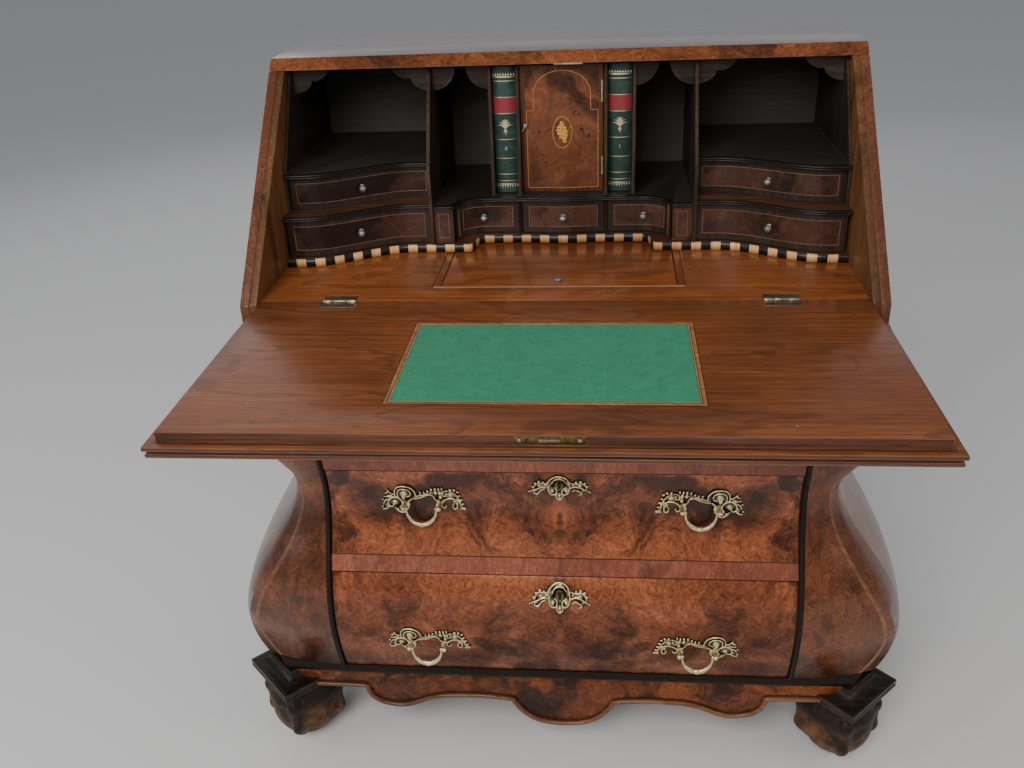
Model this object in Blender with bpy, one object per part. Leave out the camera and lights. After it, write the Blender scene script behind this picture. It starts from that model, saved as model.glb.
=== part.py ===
"""A bombe bureau with a fall front: a slant-top desk over a swelling chest of two long drawers.

Lengths are in metres. While it is being built, x runs across the case, y back from the fall's hinge line and
z up from the floor. At the end one empty carries every piece, so that the origin is under the middle of the
whole object.
"""

import math

import bmesh
import bpy
from mathutils import Matrix, Vector

for old in list(bpy.data.objects):
    bpy.data.objects.remove(old, do_unlink=True)

# Driving sizes of the desk
case_width = 0.860
writing_height = 0.780
slant_run = 0.260
slant_rise = 0.281
top_depth = 0.196
board = 0.0225
top_thickness = 0.016
fit_gap = 0.0003
overrun = 0.02
cut_margin = 0.001
weld_distance = 1e-6

# Driving sizes of the swelling chest
foot_height = 0.160
base_thickness = 0.018
shoulder_height = 0.552
drawer_half_width = 0.344
upper_rail_height, divider_height = 0.027, 0.023
upper_drawer_share = 0.42
drawers_height = shoulder_height - foot_height - base_thickness - upper_rail_height - divider_height
upper_drawer_height = drawers_height * upper_drawer_share
lower_drawer_height = drawers_height - upper_drawer_height
upper_drawer_top = shoulder_height - upper_rail_height
upper_drawer_bottom = upper_drawer_top - upper_drawer_height
lower_drawer_top = upper_drawer_bottom - divider_height
back_thickness = 0.012
shell_thickness = 0.024
stile_back = 0.030

# The swelling front: how far it stands in front of the hinge line at four heights
front_base, front_belly, front_waist, front_shoulder = 0.048, 0.077, 0.017, 0.030
front_belly_height, front_waist_height = 0.290, shoulder_height - 0.067
# The canted corner's width beside the drawers at the base, the belly and the waist
stile_base, stile_belly, stile_waist = 0.090, 0.146, 0.044
edge_base, edge_belly = drawer_half_width + stile_base, drawer_half_width + stile_belly
edge_waist = drawer_half_width + stile_waist
edge_belly_height, edge_waist_height = 0.228, shoulder_height - 0.072
# How far the side stands out from the corner's edge at the middle of its depth
fullness_base, fullness_belly, fullness_waist = 0.086, 0.056, 0.036
side_base, side_belly = edge_base + fullness_base, edge_belly + fullness_belly
side_waist = edge_waist + fullness_waist
side_belly_height, side_waist_height = 0.207, shoulder_height - 0.047
# The corner's cant for its width; it dies out from the belly towards the base
cant_base, cant_share = 0.03, 0.30
side_fullness_share = 0.45
height_steps = 20
straight_share = 1e-4
margin_share = 0.1

half_width = case_width / 2
inner_half = half_width - board
top_height = writing_height + slant_rise
case_back = slant_run + top_depth
back_inner = case_back - back_thickness
base_top = foot_height + base_thickness
shoulder = half_width

collection = bpy.data.collections.new("fall_front_secretaire")
helpers = bpy.data.collections.new("cutters")
bpy.context.scene.collection.children.link(collection)
bpy.context.scene.collection.children.link(helpers)


def material(name, colour, roughness, metallic=0.0):
    made = bpy.data.materials.new(name)
    made.use_nodes = True
    shader = made.node_tree.nodes["Principled BSDF"]
    shader.inputs["Base Color"].default_value = (*colour, 1.0)
    shader.inputs["Roughness"].default_value = roughness
    shader.inputs["Metallic"].default_value = metallic
    return made


walnut = material("walnut", (0.30, 0.13, 0.06), 0.35)
burr_walnut = material("burr_walnut", (0.34, 0.14, 0.06), 0.3)
carcass_wood = material("carcass_wood", (0.35, 0.22, 0.12), 0.7)
ebonised = material("ebonised", (0.02, 0.017, 0.015), 0.3)
gallery_wood = material("gallery_wood", (0.08, 0.045, 0.03), 0.5)
brass = material("aged_brass", (0.45, 0.38, 0.22), 0.4, 1.0)
green_cloth = material("green_baize", (0.03, 0.25, 0.12), 0.95)
green_leather = material("green_leather", (0.02, 0.12, 0.09), 0.5)


def finish(obj, name, finish_material):
    """Names a piece, gives it its finish and puts it with the others."""
    obj.name = name
    obj.data.materials.clear()
    obj.data.materials.append(finish_material)
    for home in list(obj.users_collection):
        home.objects.unlink(obj)
    collection.objects.link(obj)
    return obj


def new_object(name, mesh):
    obj = bpy.data.objects.new(name, mesh)
    collection.objects.link(obj)
    return obj


def from_bmesh(name, shape):
    mesh = bpy.data.meshes.new(name)
    bmesh.ops.recalc_face_normals(shape, faces=shape.faces)
    shape.to_mesh(mesh)
    shape.free()
    return new_object(name, mesh)


def box(name, low, high):
    shape = bmesh.new()
    bmesh.ops.create_cube(shape, size=1.0)
    size = [b - a for a, b in zip(low, high)]
    middle = [(a + b) / 2 for a, b in zip(low, high)]
    bmesh.ops.scale(shape, vec=size, verts=shape.verts)
    bmesh.ops.translate(shape, vec=middle, verts=shape.verts)
    return from_bmesh(name, shape)


def corners(outline):
    """The outline without the points that lie straight between their neighbours."""
    kept = []
    for before, here, after in zip(outline[-1:] + outline[:-1], outline, outline[1:] + outline[:1]):
        one = Vector(here) - Vector(before)
        two = Vector(after) - Vector(here)
        if abs(one.cross(two)) > straight_share * one.length * two.length:
            kept.append(here)
    return kept


def plate(name, outline, low, high, across="z"):
    """A flat outline cut from a board that runs from low to high along one axis, as a filled 2D curve."""
    outline = corners(outline)
    curve = bpy.data.curves.new(name, "CURVE")
    curve.dimensions = "2D"
    curve.fill_mode = "BOTH"
    curve.extrude = (high - low) / 2
    spline = curve.splines.new("POLY")
    spline.points.add(len(outline) - 1)
    for point, (a, b) in zip(spline.points, outline):
        point.co = (a, b, 0.0, 1.0)
    spline.use_cyclic_u = True
    flat = bpy.data.objects.new(name, curve)
    collection.objects.link(flat)
    middle = (low + high) / 2
    turns = {
        "z": Matrix.Translation((0, 0, middle)),
        "x": Matrix.Translation((middle, 0, 0)) @ Matrix(((0, 0, 1), (1, 0, 0), (0, 1, 0))).to_4x4(),
        "y": Matrix.Translation((0, middle, 0)) @ Matrix(((1, 0, 0), (0, 0, -1), (0, 1, 0))).to_4x4(),
    }
    flat.matrix_world = turns[across]
    return meshed(flat)


def meshed(curve_object):
    """The mesh of a curve, with its caps welded on and its place kept in its vertices."""
    bpy.context.view_layer.update()
    graph = bpy.context.evaluated_depsgraph_get()
    mesh = bpy.data.meshes.new_from_object(curve_object.evaluated_get(graph))
    mesh.transform(curve_object.matrix_world)
    name = curve_object.name
    bpy.data.objects.remove(curve_object, do_unlink=True)
    shape = bmesh.new()
    shape.from_mesh(mesh)
    bmesh.ops.remove_doubles(shape, verts=shape.verts, dist=weld_distance)
    bpy.data.meshes.remove(mesh)
    return from_bmesh(name, shape)


def tube(name, points, radius, smoothness=1):
    curve = bpy.data.curves.new(name, "CURVE")
    curve.dimensions = "3D"
    curve.bevel_depth = radius
    curve.bevel_resolution = smoothness
    curve.use_fill_caps = True
    spline = curve.splines.new("POLY")
    spline.points.add(len(points) - 1)
    for point, place in zip(spline.points, points):
        point.co = (*place, 1.0)
    wire = bpy.data.objects.new(name, curve)
    collection.objects.link(wire)
    return meshed(wire)


def ball(name, centre, radii, segments=12, rings=8):
    shape = bmesh.new()
    bmesh.ops.create_uvsphere(shape, u_segments=segments, v_segments=rings, radius=1.0)
    bmesh.ops.scale(shape, vec=radii, verts=shape.verts)
    bmesh.ops.translate(shape, vec=centre, verts=shape.verts)
    return from_bmesh(name, shape)


def rod(name, start, end, radius, end_radius=None, sides=12):
    """A round or tapering rod between two points."""
    shape = bmesh.new()
    line = Vector(end) - Vector(start)
    far = radius if end_radius is None else end_radius
    bmesh.ops.create_cone(
        shape, cap_ends=True, segments=sides, radius1=radius, radius2=far, depth=line.length
    )
    turn = line.to_track_quat("Z", "Y").to_matrix().to_4x4()
    place = Matrix.Translation((Vector(start) + Vector(end)) / 2)
    bmesh.ops.transform(shape, matrix=place @ turn, verts=shape.verts)
    return from_bmesh(name, shape)


def loft(name, rings):
    """A solid through a stack of unlike sections with equal point counts."""
    shape = bmesh.new()
    rows = [[shape.verts.new(point) for point in ring] for ring in rings]
    count = len(rows[0])
    for lower, upper in zip(rows, rows[1:]):
        for i in range(count):
            j = (i + 1) % count
            shape.faces.new((lower[i], lower[j], upper[j], upper[i]))
    shape.faces.new(rows[0])
    shape.faces.new(rows[-1])
    bmesh.ops.triangulate(shape, faces=shape.faces)
    return from_bmesh(name, shape)


def combine(obj, other, operation):
    """Cuts, joins or keeps what two shapes share, with the second one kept aside as a helper."""
    collection.objects.unlink(other)
    helpers.objects.link(other)
    other.hide_render = True
    other.display_type = "WIRE"
    step = obj.modifiers.new(operation.lower(), "BOOLEAN")
    step.operation = operation
    step.solver = "EXACT"
    step.object = other
    return obj


def cut(obj, other):
    return combine(obj, other, "DIFFERENCE")


def join(obj, other):
    return combine(obj, other, "UNION")


def mirrored(obj, name):
    """The same piece for the other side of the case, as its own mesh."""
    bpy.context.view_layer.update()
    graph = bpy.context.evaluated_depsgraph_get()
    mesh = bpy.data.meshes.new_from_object(obj.evaluated_get(graph))
    mesh.transform(Matrix.Scale(-1, 4, (1, 0, 0)))
    mesh.flip_normals()
    return new_object(name, mesh)


def both_sides(obj, stem, finish_material):
    """Finishes the right piece and makes the left one from it."""
    right = finish(obj, stem + "_right", finish_material)
    return finish(mirrored(right, stem + "_left"), stem + "_left", finish_material), right


def smooth(obj, degrees=35):
    obj.data.shade_smooth()
    obj.data.set_sharp_from_angle(angle=math.radians(degrees))


# The swelling surfaces
def ease(share):
    return (1 - math.cos(math.pi * share)) / 2


def swell(height, base, belly, waist, top, belly_height, waist_height):
    """An S curve: out from the base to the belly, in to the waist and out again to the shoulder."""
    if height <= belly_height:
        share = max(0.0, (height - foot_height) / (belly_height - foot_height))
        return base + (belly - base) * math.sin(math.pi / 2 * share)
    if height <= waist_height:
        return belly + (waist - belly) * ease((height - belly_height) / (waist_height - belly_height))
    share = min(1.0, (height - waist_height) / (shoulder_height - waist_height))
    return waist + (top - waist) * ease(share)


def front_at(height):
    return -swell(
        height, front_base, front_belly, front_waist, front_shoulder,
        front_belly_height, front_waist_height,
    )


def edge_at(height):
    return swell(height, edge_base, edge_belly, edge_waist, shoulder, edge_belly_height, edge_waist_height)


def edge_depth(height):
    """Where the canted corner's outer edge stands, from front to back."""
    rise = (height - foot_height) / (edge_belly_height - foot_height)
    cant = cant_base + (cant_share - cant_base) * math.sin(math.pi / 2 * min(1.0, max(0.0, rise)))
    return front_at(height) + (edge_at(height) - drawer_half_width) * cant


def side_at(depth, height):
    """The half width of the side at a depth and a height."""
    start = edge_depth(height)
    share = min(1.0, max(0.0, (depth - start) / (case_back - start)))
    middle = swell(
        height, side_base, side_belly, side_waist, shoulder, side_belly_height, side_waist_height,
    )
    edge = edge_at(height)
    return edge + (middle - edge) * math.sin(math.pi * share) ** side_fullness_share


def heights(low, high, steps=height_steps):
    """Heights on one shared grid, so that neighbouring faceted surfaces keep an even gap."""
    pitch = (shoulder_height - foot_height) / steps
    inner = [foot_height + pitch * k for k in range(steps + 1)]
    margin = pitch * margin_share
    return [low] + [z for z in inner if low + margin < z < high - margin] + [high]


# The base board carries the chest and shows in front as an ebonised moulding
moulding_projection = 0.006
depth_steps = 8
shell_depths = [stile_back + (case_back - stile_back) * k / depth_steps for k in range(depth_steps + 1)]


def base_outline(height, proud):
    edge = edge_at(height)
    side = [(edge + proud / 2, edge_depth(height) - proud)]
    side += [(side_at(y, height) + proud / 2, y) for y in shell_depths]
    front = [(drawer_half_width, front_at(height) - proud)]
    right = front + side
    return right + [(-x, y) for x, y in reversed(right)]


base_low, base_high = foot_height, base_top
base_board = loft("base", [
    [(x, y, base_low) for x, y in base_outline(foot_height, moulding_projection)],
    [(x, y, (base_low + base_high) / 2) for x, y in base_outline(foot_height, moulding_projection)],
    [(x, y, base_high) for x, y in base_outline(base_top, moulding_projection / 4)],
])
guide_width = 0.016
guide_height = 0.030
guide_front = 0.045
guide_overlap = 0.004
guide_inner = drawer_half_width - guide_overlap


def add_guides(obj, height):
    """The strips that keep a drawer straight, glued on the board that it runs on."""
    for side in (-1, 1):
        near, far = sorted((side * guide_inner, side * (guide_inner + guide_width)))
        low = (near, guide_front, height - overrun / 4)
        high = (far, back_inner - fit_gap, height + guide_height)
        join(obj, box("guide", low, high))


add_guides(base_board, base_top)
finish(base_board, "base_board", ebonised)

# The bombe sides are thick shaped boards, hollowed inside
side_bottom = base_top + fit_gap
side_top = shoulder_height - fit_gap


def side_ring(height):
    outer = [(side_at(y, height), y) for y in shell_depths[:-1]]
    back_y = back_inner - fit_gap
    outer.append((side_at(back_y, height), back_y))
    outer[0] = (side_at(stile_back + fit_gap, height), stile_back + fit_gap)
    inner = [(x - shell_thickness, y) for x, y in reversed(outer)]
    return [(x, y, height) for x, y in outer + inner]


side_panel = loft("side", [side_ring(z) for z in heights(side_bottom, side_top)])
smooth(side_panel)
both_sides(side_panel, "side_panel", burr_walnut)

# The canted corner stiles, rebated for the bead at the drawers' ends
bead_radius = 0.0042
bead_place = drawer_half_width + bead_radius
bead_seat = bead_radius + fit_gap


def stile_ring(height):
    y = front_at(height)
    outline = [
        (drawer_half_width, y + bead_seat + fit_gap),
        (bead_place + bead_seat, y + bead_seat + fit_gap),
        (bead_place + bead_seat, y),
        (edge_at(height), edge_depth(height)),
        (side_at(stile_back, height), stile_back),
        (drawer_half_width, stile_back),
    ]
    return [(x, y, height) for x, y in outline]


stile = loft("stile", [stile_ring(z) for z in heights(side_bottom, side_top)])
smooth(stile)
both_sides(stile, "corner_stile", burr_walnut)

bead_points = [(bead_place, front_at(z), z) for z in heights(base_top + bead_radius, side_top - bead_radius)]
bead = tube("bead", bead_points, bead_radius - fit_gap)
smooth(bead, 60)
both_sides(bead, "stile_bead", ebonised)


# The back closes the case from the base to the top
def back_outline():
    right = [(edge_at(z), z) for z in heights(side_bottom, side_top)]
    right += [(half_width, shoulder_height), (half_width, top_height - top_thickness - fit_gap)]
    return right + [(-x, z) for x, z in reversed(right)]


finish(plate("back", back_outline(), back_inner, case_back, "y"), "case_back", carcass_wood)

# Rails with their dust boards, between and above the long drawers
board_half = drawer_half_width - fit_gap
dust_board = 0.010
rail_back = 0.040


def rail(name, low, high, with_guides, finish_material):
    outline = [(front_at(z) + fit_gap, z) for z in heights(low, high)]
    outline += [(rail_back, high), (rail_back, low)]
    made = plate("rail", outline, -board_half, board_half, "x")
    board_back = back_inner - fit_gap
    join(made, box("dust", (-board_half, stile_back / 2, high - dust_board), (board_half, board_back, high)))
    if with_guides:
        for side in (-1, 1):
            near, far = sorted((side * guide_inner, side * board_half))
            start = (near, guide_front, high - dust_board / 2)
            join(made, box("guide", start, (far, board_back, high + guide_height)))
    return finish(made, name, finish_material)


rail("drawer_divider", lower_drawer_top, upper_drawer_bottom, True, burr_walnut)
rail("upper_rail", upper_drawer_top, shoulder_height - fit_gap, False, burr_walnut)

# Claw feet: a ball gripped by talons, under a block set cornerwise. The block has a slab at its foot and draws
# in above it, in a hollow, to a small top under the case.
block_side = 0.119
block_step_side, block_top_side = 0.100, 0.066
hollow_steps = 4
block_slab = 0.015
block_height = 0.032
ball_radius = 0.061
foot_inset = 0.082
foot_x = side_base - foot_inset
front_foot_y = -0.012
back_foot_y = case_back - block_side / math.sqrt(2) - fit_gap
ankle_radius = 0.036
talon_radius = 0.013
talons = 4
block_top = foot_height - fit_gap
block_bottom = block_top - block_height
ball_sink = 0.004
ball_height = block_bottom + ball_sink
ball_width_share = 0.94
ankle_spread_share = 1.15
talon_stand_share = 0.25
talon_swing_shares = (0.02, 0.16, 0.32, 0.48, 0.64)
foot_flat = 0.0006


def square_ring(x, y, side, height):
    r = side / math.sqrt(2)
    return [(x + r, y, height), (x, y + r, height), (x - r, y, height), (x, y - r, height)]


def moulded_block(name, x=0.0, y=0.0, spare=0.0):
    """The block over a foot; spare makes it larger all round, as a cutter."""
    slab_top = block_bottom + block_slab + spare
    rings = [square_ring(x, y, block_side + 2 * spare, z) for z in (block_bottom - spare, slab_top)]
    for k in range(hollow_steps + 1):
        turn = math.pi / 2 * k / hollow_steps
        side = block_step_side - (block_step_side - block_top_side) * math.sin(turn) + 2 * spare
        rings.append(square_ring(x, y, side, slab_top + (block_top + spare - slab_top) * (1 - math.cos(turn))))
    return loft(name, rings)


# The shaped apron under the base moulding runs from foot to foot and is mitred against their blocks
apron_front = -0.050
apron_thickness = 0.020
apron_overlap = 0.008
apron_half = drawer_half_width + apron_overlap
apron_drops_shares = (
    (0.0, 1.0), (0.09, 0.96), (0.155, 0.84), (0.205, 0.64), (0.225, 0.50), (0.24, 0.49), (0.34, 0.46),
    (0.45, 0.46), (0.56, 0.49), (0.63, 0.57), (0.70, 0.68), (0.76, 0.71), (0.83, 0.66), (0.88, 0.54),
    (0.90, 0.31), (1.0, 0.30),
)
apron_drop = 0.098
apron_end_share = 0.285
apron_top = foot_height - fit_gap
apron_end = foot_x - 2 * cut_margin
apron_low = [(apron_half * x, apron_top - apron_drop * d) for x, d in apron_drops_shares]
apron_outline = [(-x, z) for x, z in reversed(apron_low)] + apron_low[1:]
end_low = apron_top - apron_drop * apron_end_share
apron_outline = [(-apron_end, end_low)] + apron_outline + [(apron_end, end_low)]
apron_outline += [(apron_end, apron_top), (-apron_end, apron_top)]
apron = plate("apron", apron_outline, apron_front, apron_front + apron_thickness, "y")
for side in (-1, 1):
    cut(apron, moulded_block("block_room", side * foot_x, front_foot_y, fit_gap))
finish(apron, "apron", burr_walnut)


def foot(name, x, y):
    made = moulded_block("block")
    middle = ball_height / 2
    ankle_top = (0, 0, block_bottom + block_slab / 2)
    join(made, rod("ankle", (0, 0, middle), ankle_top, ankle_radius, ankle_radius * ankle_spread_share))
    ball_reach = ball_radius * ball_width_share
    join(made, ball("ball", (0, 0, middle), (ball_reach, ball_reach, middle), 16, 10))
    for k in range(talons):
        angle = math.pi / 4 + k * math.pi / 2
        points = []
        for share in talon_swing_shares:
            swing = math.pi * share
            reach = ball_reach * math.sin(swing) + talon_radius * talon_stand_share
            height = middle + middle * math.cos(swing)
            points.append((reach * math.cos(angle), reach * math.sin(angle), height))
        join(made, tube("talon", points, talon_radius))
    flat = box("floor", (-block_side, -block_side, -overrun), (block_side, block_side, foot_flat))
    cut(made, flat)
    bpy.context.view_layer.update()
    graph = bpy.context.evaluated_depsgraph_get()
    mesh = bpy.data.meshes.new_from_object(made.evaluated_get(graph))
    mesh.transform(Matrix.Translation((x, y, -foot_flat)))
    bpy.data.objects.remove(made, do_unlink=True)
    placed = finish(new_object(name, mesh), name, ebonised)
    smooth(placed, 40)
    return placed


for side, word in ((-1, "left"), (1, "right")):
    foot("front_foot_" + word, side * foot_x, front_foot_y)
    foot("back_foot_" + word, side * foot_x, back_foot_y)

# The upper case: slant ends, top board and writing bed
rebate = 0.0125
slant_angle = math.atan2(slant_rise, slant_run) - math.asin(rebate / math.hypot(slant_run, slant_rise))
slope = Vector((math.cos(slant_angle), math.sin(slant_angle)))
outward = Vector((-math.sin(slant_angle), math.cos(slant_angle)))
under_top = top_height - top_thickness
fall_thickness = 0.026


def slant_edge(height):
    """Where the slant ends' front edge is at a height; the closed fall's lip comes down on it."""
    rise = height - writing_height
    return rise / math.tan(slant_angle) - (rebate - fit_gap) / math.sin(slant_angle)


end_front = -front_shoulder
ledge_under_fall = writing_height - fall_thickness - fit_gap * 3
end_outline = [
    (end_front, shoulder_height),
    (end_front, ledge_under_fall),
    (slant_edge(writing_height), ledge_under_fall),
    (slant_edge(writing_height), writing_height),
    (slant_edge(under_top - fit_gap), under_top - fit_gap),
    (back_inner - fit_gap, under_top - fit_gap),
    (back_inner - fit_gap, shoulder_height),
]
slant_end = plate("slant_end", end_outline, inner_half, half_width, "x")
loper_thickness = 0.026
loper_height = 0.060
loper_length = 0.330
loper_rest_reach = 0.230
loper_top = writing_height - fall_thickness - fit_gap
loper_bottom = loper_top - loper_height
runner_height = 0.014
runner_set_back = 0.024
runner_inner = inner_half - loper_thickness - fit_gap * 2
runner = box(
    "runner",
    (runner_inner, end_front + runner_set_back, loper_bottom - fit_gap - runner_height),
    (inner_half + board / 2, end_front + loper_length + overrun, loper_bottom - fit_gap),
)
join(slant_end, runner)
both_sides(slant_end, "slant_end", walnut)

top_outline = [
    (slant_edge(under_top), under_top),
    (slant_edge(top_height), top_height),
    (case_back, top_height),
    (case_back, under_top),
]
finish(plate("top", top_outline, -half_width, half_width, "x"), "top_board", walnut)

bed_thickness = 0.018
bed_front = fit_gap
well_half = 0.175
riser_outer_y, riser_inner_y, riser_centre_y = 0.135, 0.195, 0.2365
lid_tuck, lid_travel, lid_spare = 0.0055, 0.150, 0.010
well_front = 0.048
well_lid_back = riser_centre_y + lid_tuck
well_back = well_lid_back + lid_travel + lid_spare
bed_low = writing_height - bed_thickness
bed_half = inner_half - fit_gap
bed = box("bed", (-bed_half, bed_front, bed_low), (bed_half, back_inner - fit_gap, writing_height))
cut(bed, box(
    "well_hole",
    (-well_half, well_front, bed_low - overrun),
    (well_half, well_back, writing_height + overrun),
))

# The well under the bed and the lid that slides back over it
lid_thickness = 0.009
lid_drop = 0.0006
lid_low = writing_height - lid_drop - lid_thickness
well_depth = 0.085
well_wall = 0.009
rim = lid_low - fit_gap
well_edge = well_half - fit_gap
well_near, well_far = well_front + fit_gap, well_back - fit_gap
well_box = box("well", (-well_edge, well_near, rim - well_depth), (well_edge, well_far, rim))
cut(well_box, box(
    "hollow",
    (-well_edge + well_wall, well_near + well_wall, rim - well_depth + well_wall),
    (well_edge - well_wall, well_far - well_wall, rim + overrun),
))
finish(well_box, "well_box", carcass_wood)
knob_radius = 0.0055
knob_reach = 0.010
lid_knob_y = 0.066
lid_high = writing_height - lid_drop
lid = box("lid", (-well_edge, well_near, lid_low), (well_edge, well_lid_back, lid_high))
pull_place = (0, lid_knob_y, writing_height + knob_reach / 2)
join(lid, rod("stem", (0, lid_knob_y, lid_low + lid_thickness / 2), pull_place, knob_radius / 3, None, 8))
join(lid, ball("pull", pull_place, (knob_radius, knob_radius, knob_reach / 3), 10, 6))
finish(lid, "well_lid", walnut)

# The frieze in front of the well, notched at its ends for the lopers
frieze_thickness = 0.020
frieze_half = inner_half - fit_gap
notch = inner_half - loper_thickness - fit_gap * 3
frieze_low = shoulder_height + fit_gap
frieze_step = loper_bottom - fit_gap
frieze_outline = [
    (-frieze_half, frieze_low), (frieze_half, frieze_low), (frieze_half, frieze_step), (notch, frieze_step),
    (notch, bed_low - fit_gap), (-notch, bed_low - fit_gap), (-notch, frieze_step),
    (-frieze_half, frieze_step),
]
frieze_back = end_front + frieze_thickness
frieze = plate("frieze", frieze_outline, end_front, frieze_back, "y")
cut(frieze, box(
    "fall_room",
    (-half_width, end_front - overrun, ledge_under_fall),
    (half_width, -fit_gap - frieze_thickness / 4, writing_height),
))
finish(frieze, "frieze_panel", burr_walnut)

# Lopers: the slides that carry the open fall
loper = box(
    "loper",
    (inner_half - loper_thickness, end_front - loper_rest_reach, loper_bottom),
    (inner_half - fit_gap, end_front - loper_rest_reach + loper_length, loper_top),
)
loper_knob_radius = 0.007
loper_face = end_front - loper_rest_reach
loper_middle = inner_half - loper_thickness / 2
knob_z = (loper_bottom + loper_top) / 2
stem_start = (loper_middle, loper_face + loper_knob_radius / 2, knob_z)
loper_knob = (loper_middle, loper_face - knob_reach, knob_z)
join(loper, rod("stem", stem_start, loper_knob, loper_knob_radius / 2, None, 8))
join(loper, ball("knob", loper_knob, (loper_knob_radius,) * 3, 10, 6))
both_sides(loper, "loper", walnut)

# The fall: a board with a moulded lip on three edges, lying open on the lopers
panel_side_gap = 0.001
panel_half = inner_half - panel_side_gap
panel_clearance = 0.0015
closed_rise = slant_rise - top_thickness - panel_clearance - rebate * math.cos(slant_angle)
panel_length = closed_rise / math.sin(slant_angle)
lip = 0.012
fall_back = -fit_gap
fall_low = writing_height - fall_thickness
lip_start = slant_edge(writing_height) - panel_clearance
lip_top = writing_height - rebate
fall_front = -panel_length - lip
lip_cove = 0.005
lip_bead_inset = 0.002
lip_height = lip_top - fall_low
fall = box("fall", (-panel_half, -panel_length, fall_low), (panel_half, fall_back, writing_height))
lip_shares = ((0.0, 0.35), (0.30, 0.72), (0.68, 1.0))
lip_insets = (0.0, lip_cove, lip_bead_inset)
for (high_share, low_share), inset in zip(lip_shares, lip_insets):
    half = panel_half + lip - inset
    low, high = lip_top - lip_height * low_share, lip_top - lip_height * high_share
    join(fall, box("lip", (-half, fall_front + inset, low), (half, lip_start, high)))

# The baize lies in a shallow recess in the fall
baize_half = 0.168
baize_near, baize_far = -0.080, -0.286
baize_thickness = 0.0010
baize_recess = baize_thickness + fit_gap
cut(fall, box(
    "baize_recess",
    (-baize_half - fit_gap, baize_far - fit_gap, writing_height - baize_recess),
    (baize_half + fit_gap, baize_near + fit_gap, writing_height + overrun),
))
baize_low = writing_height - baize_thickness
baize = box("baize", (-baize_half, baize_far, baize_low), (baize_half, baize_near, writing_height))
finish(baize, "baize", green_cloth)

# The lock in the middle of the fall's front edge
lock_width, lock_height, lock_depth = 0.073, 0.009, 0.030
lock_plate_thickness = 0.0015
lock_middle = 0.011
lock_drop = 0.0018
lock_high = writing_height - lock_drop
lock = box(
    "lock",
    (lock_middle - lock_width / 2, -panel_length - fit_gap, lock_high - lock_height),
    (lock_middle + lock_width / 2, -panel_length + lock_plate_thickness, lock_high),
)
case_half = lock_width / 3
join(lock, box(
    "lock_case",
    (lock_middle - case_half, -panel_length, lock_high - lock_height),
    (lock_middle + case_half, -panel_length + lock_depth, lock_high - fit_gap),
))
cut(fall, box(
    "lock_mortise",
    (lock_middle - lock_width / 2 - fit_gap, -panel_length - cut_margin, lock_high - lock_height - fit_gap),
    (lock_middle + lock_width / 2 + fit_gap, -panel_length + lock_depth + fit_gap, lock_high + fit_gap),
))
finish(lock, "fall_lock", brass)

# Two butt hinges let into the fall and the bed, with their knuckles on the hinge line
hinge_x = 0.295
hinge_width = 0.046
leaf_reach = 0.020
leaf_thickness = 0.0020
knuckle_radius = 0.0030
knuckle_room = knuckle_radius + fit_gap * 2
groove_share, leaf_start_share, web_share = 1.05, 1.1, 1.4
leaf_top = writing_height - fit_gap


def hinge_pocket(x, direction):
    near, far = sorted((0.0, direction * (leaf_reach + fit_gap)))
    pocket = box(
        "pocket",
        (x - hinge_width / 2 - fit_gap, near - cut_margin, leaf_top - leaf_thickness - fit_gap),
        (x + hinge_width / 2 + fit_gap, far + (cut_margin if direction < 0 else 0), writing_height + overrun),
    )
    return pocket


def knuckle_groove(x):
    ends = hinge_width / 2 + fit_gap
    start, end = (x - ends, 0, writing_height), (x + ends, 0, writing_height)
    return rod("groove", start, end, knuckle_room * groove_share, None, 16)


for side in (-1, 1):
    cut(fall, hinge_pocket(side * hinge_x, -1))
    cut(fall, knuckle_groove(side * hinge_x))
    cut(bed, hinge_pocket(side * hinge_x, 1))
    cut(bed, knuckle_groove(side * hinge_x))
finish(fall, "fall_board", walnut)
finish(bed, "writing_bed", walnut)


def hinge_leaf(name, x, direction, knuckles):
    """One leaf; knuckles are the stretches of its width, as shares, where it wraps the hinge line."""
    near, far = sorted((direction * knuckle_room * leaf_start_share, direction * leaf_reach))
    leaf_low = leaf_top - leaf_thickness
    leaf = box("leaf", (x - hinge_width / 2, near, leaf_low), (x + hinge_width / 2, far, leaf_top))
    for low_share, high_share in knuckles:
        low_x = x + hinge_width * (low_share - 0.5) + fit_gap
        high_x = x + hinge_width * (high_share - 0.5) - fit_gap
        reach = sorted((0.0, direction * knuckle_room * web_share))
        join(leaf, box("web", (low_x, reach[0], leaf_low), (high_x, reach[1], leaf_top)))
        join(leaf, rod("knuckle", (low_x, 0, writing_height), (high_x, 0, writing_height), knuckle_radius))
    return finish(leaf, name, brass)


fall_knuckles_shares = ((0.0, 0.3), (0.7, 1.0))
bed_knuckles_shares = ((0.3, 0.7),)
for side, word in ((-1, "left"), (1, "right")):
    hinge_leaf("hinge_fall_leaf_" + word, side * hinge_x, -1, fall_knuckles_shares)
    hinge_leaf("hinge_bed_leaf_" + word, side * hinge_x, 1, bed_knuckles_shares)

# Long drawers: a swelling front on a plain box
front_thickness = 0.020
drawer_gap = 0.0012
drawer_side = 0.012
drawer_bottom = 0.010
box_side_gap = 0.0025
box_back_gap = 0.012
box_half = guide_inner - box_side_gap
box_back = back_inner - box_back_gap
box_front = 0.020


def drawer_front(name, low, high):
    zs = heights(low, high)
    outline = [(front_at(z), z) for z in zs] + [(front_at(z) + front_thickness, z) for z in reversed(zs)]
    half = drawer_half_width - drawer_gap
    return finish(plate("front", outline, -half, half, "x"), name, burr_walnut)


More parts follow.
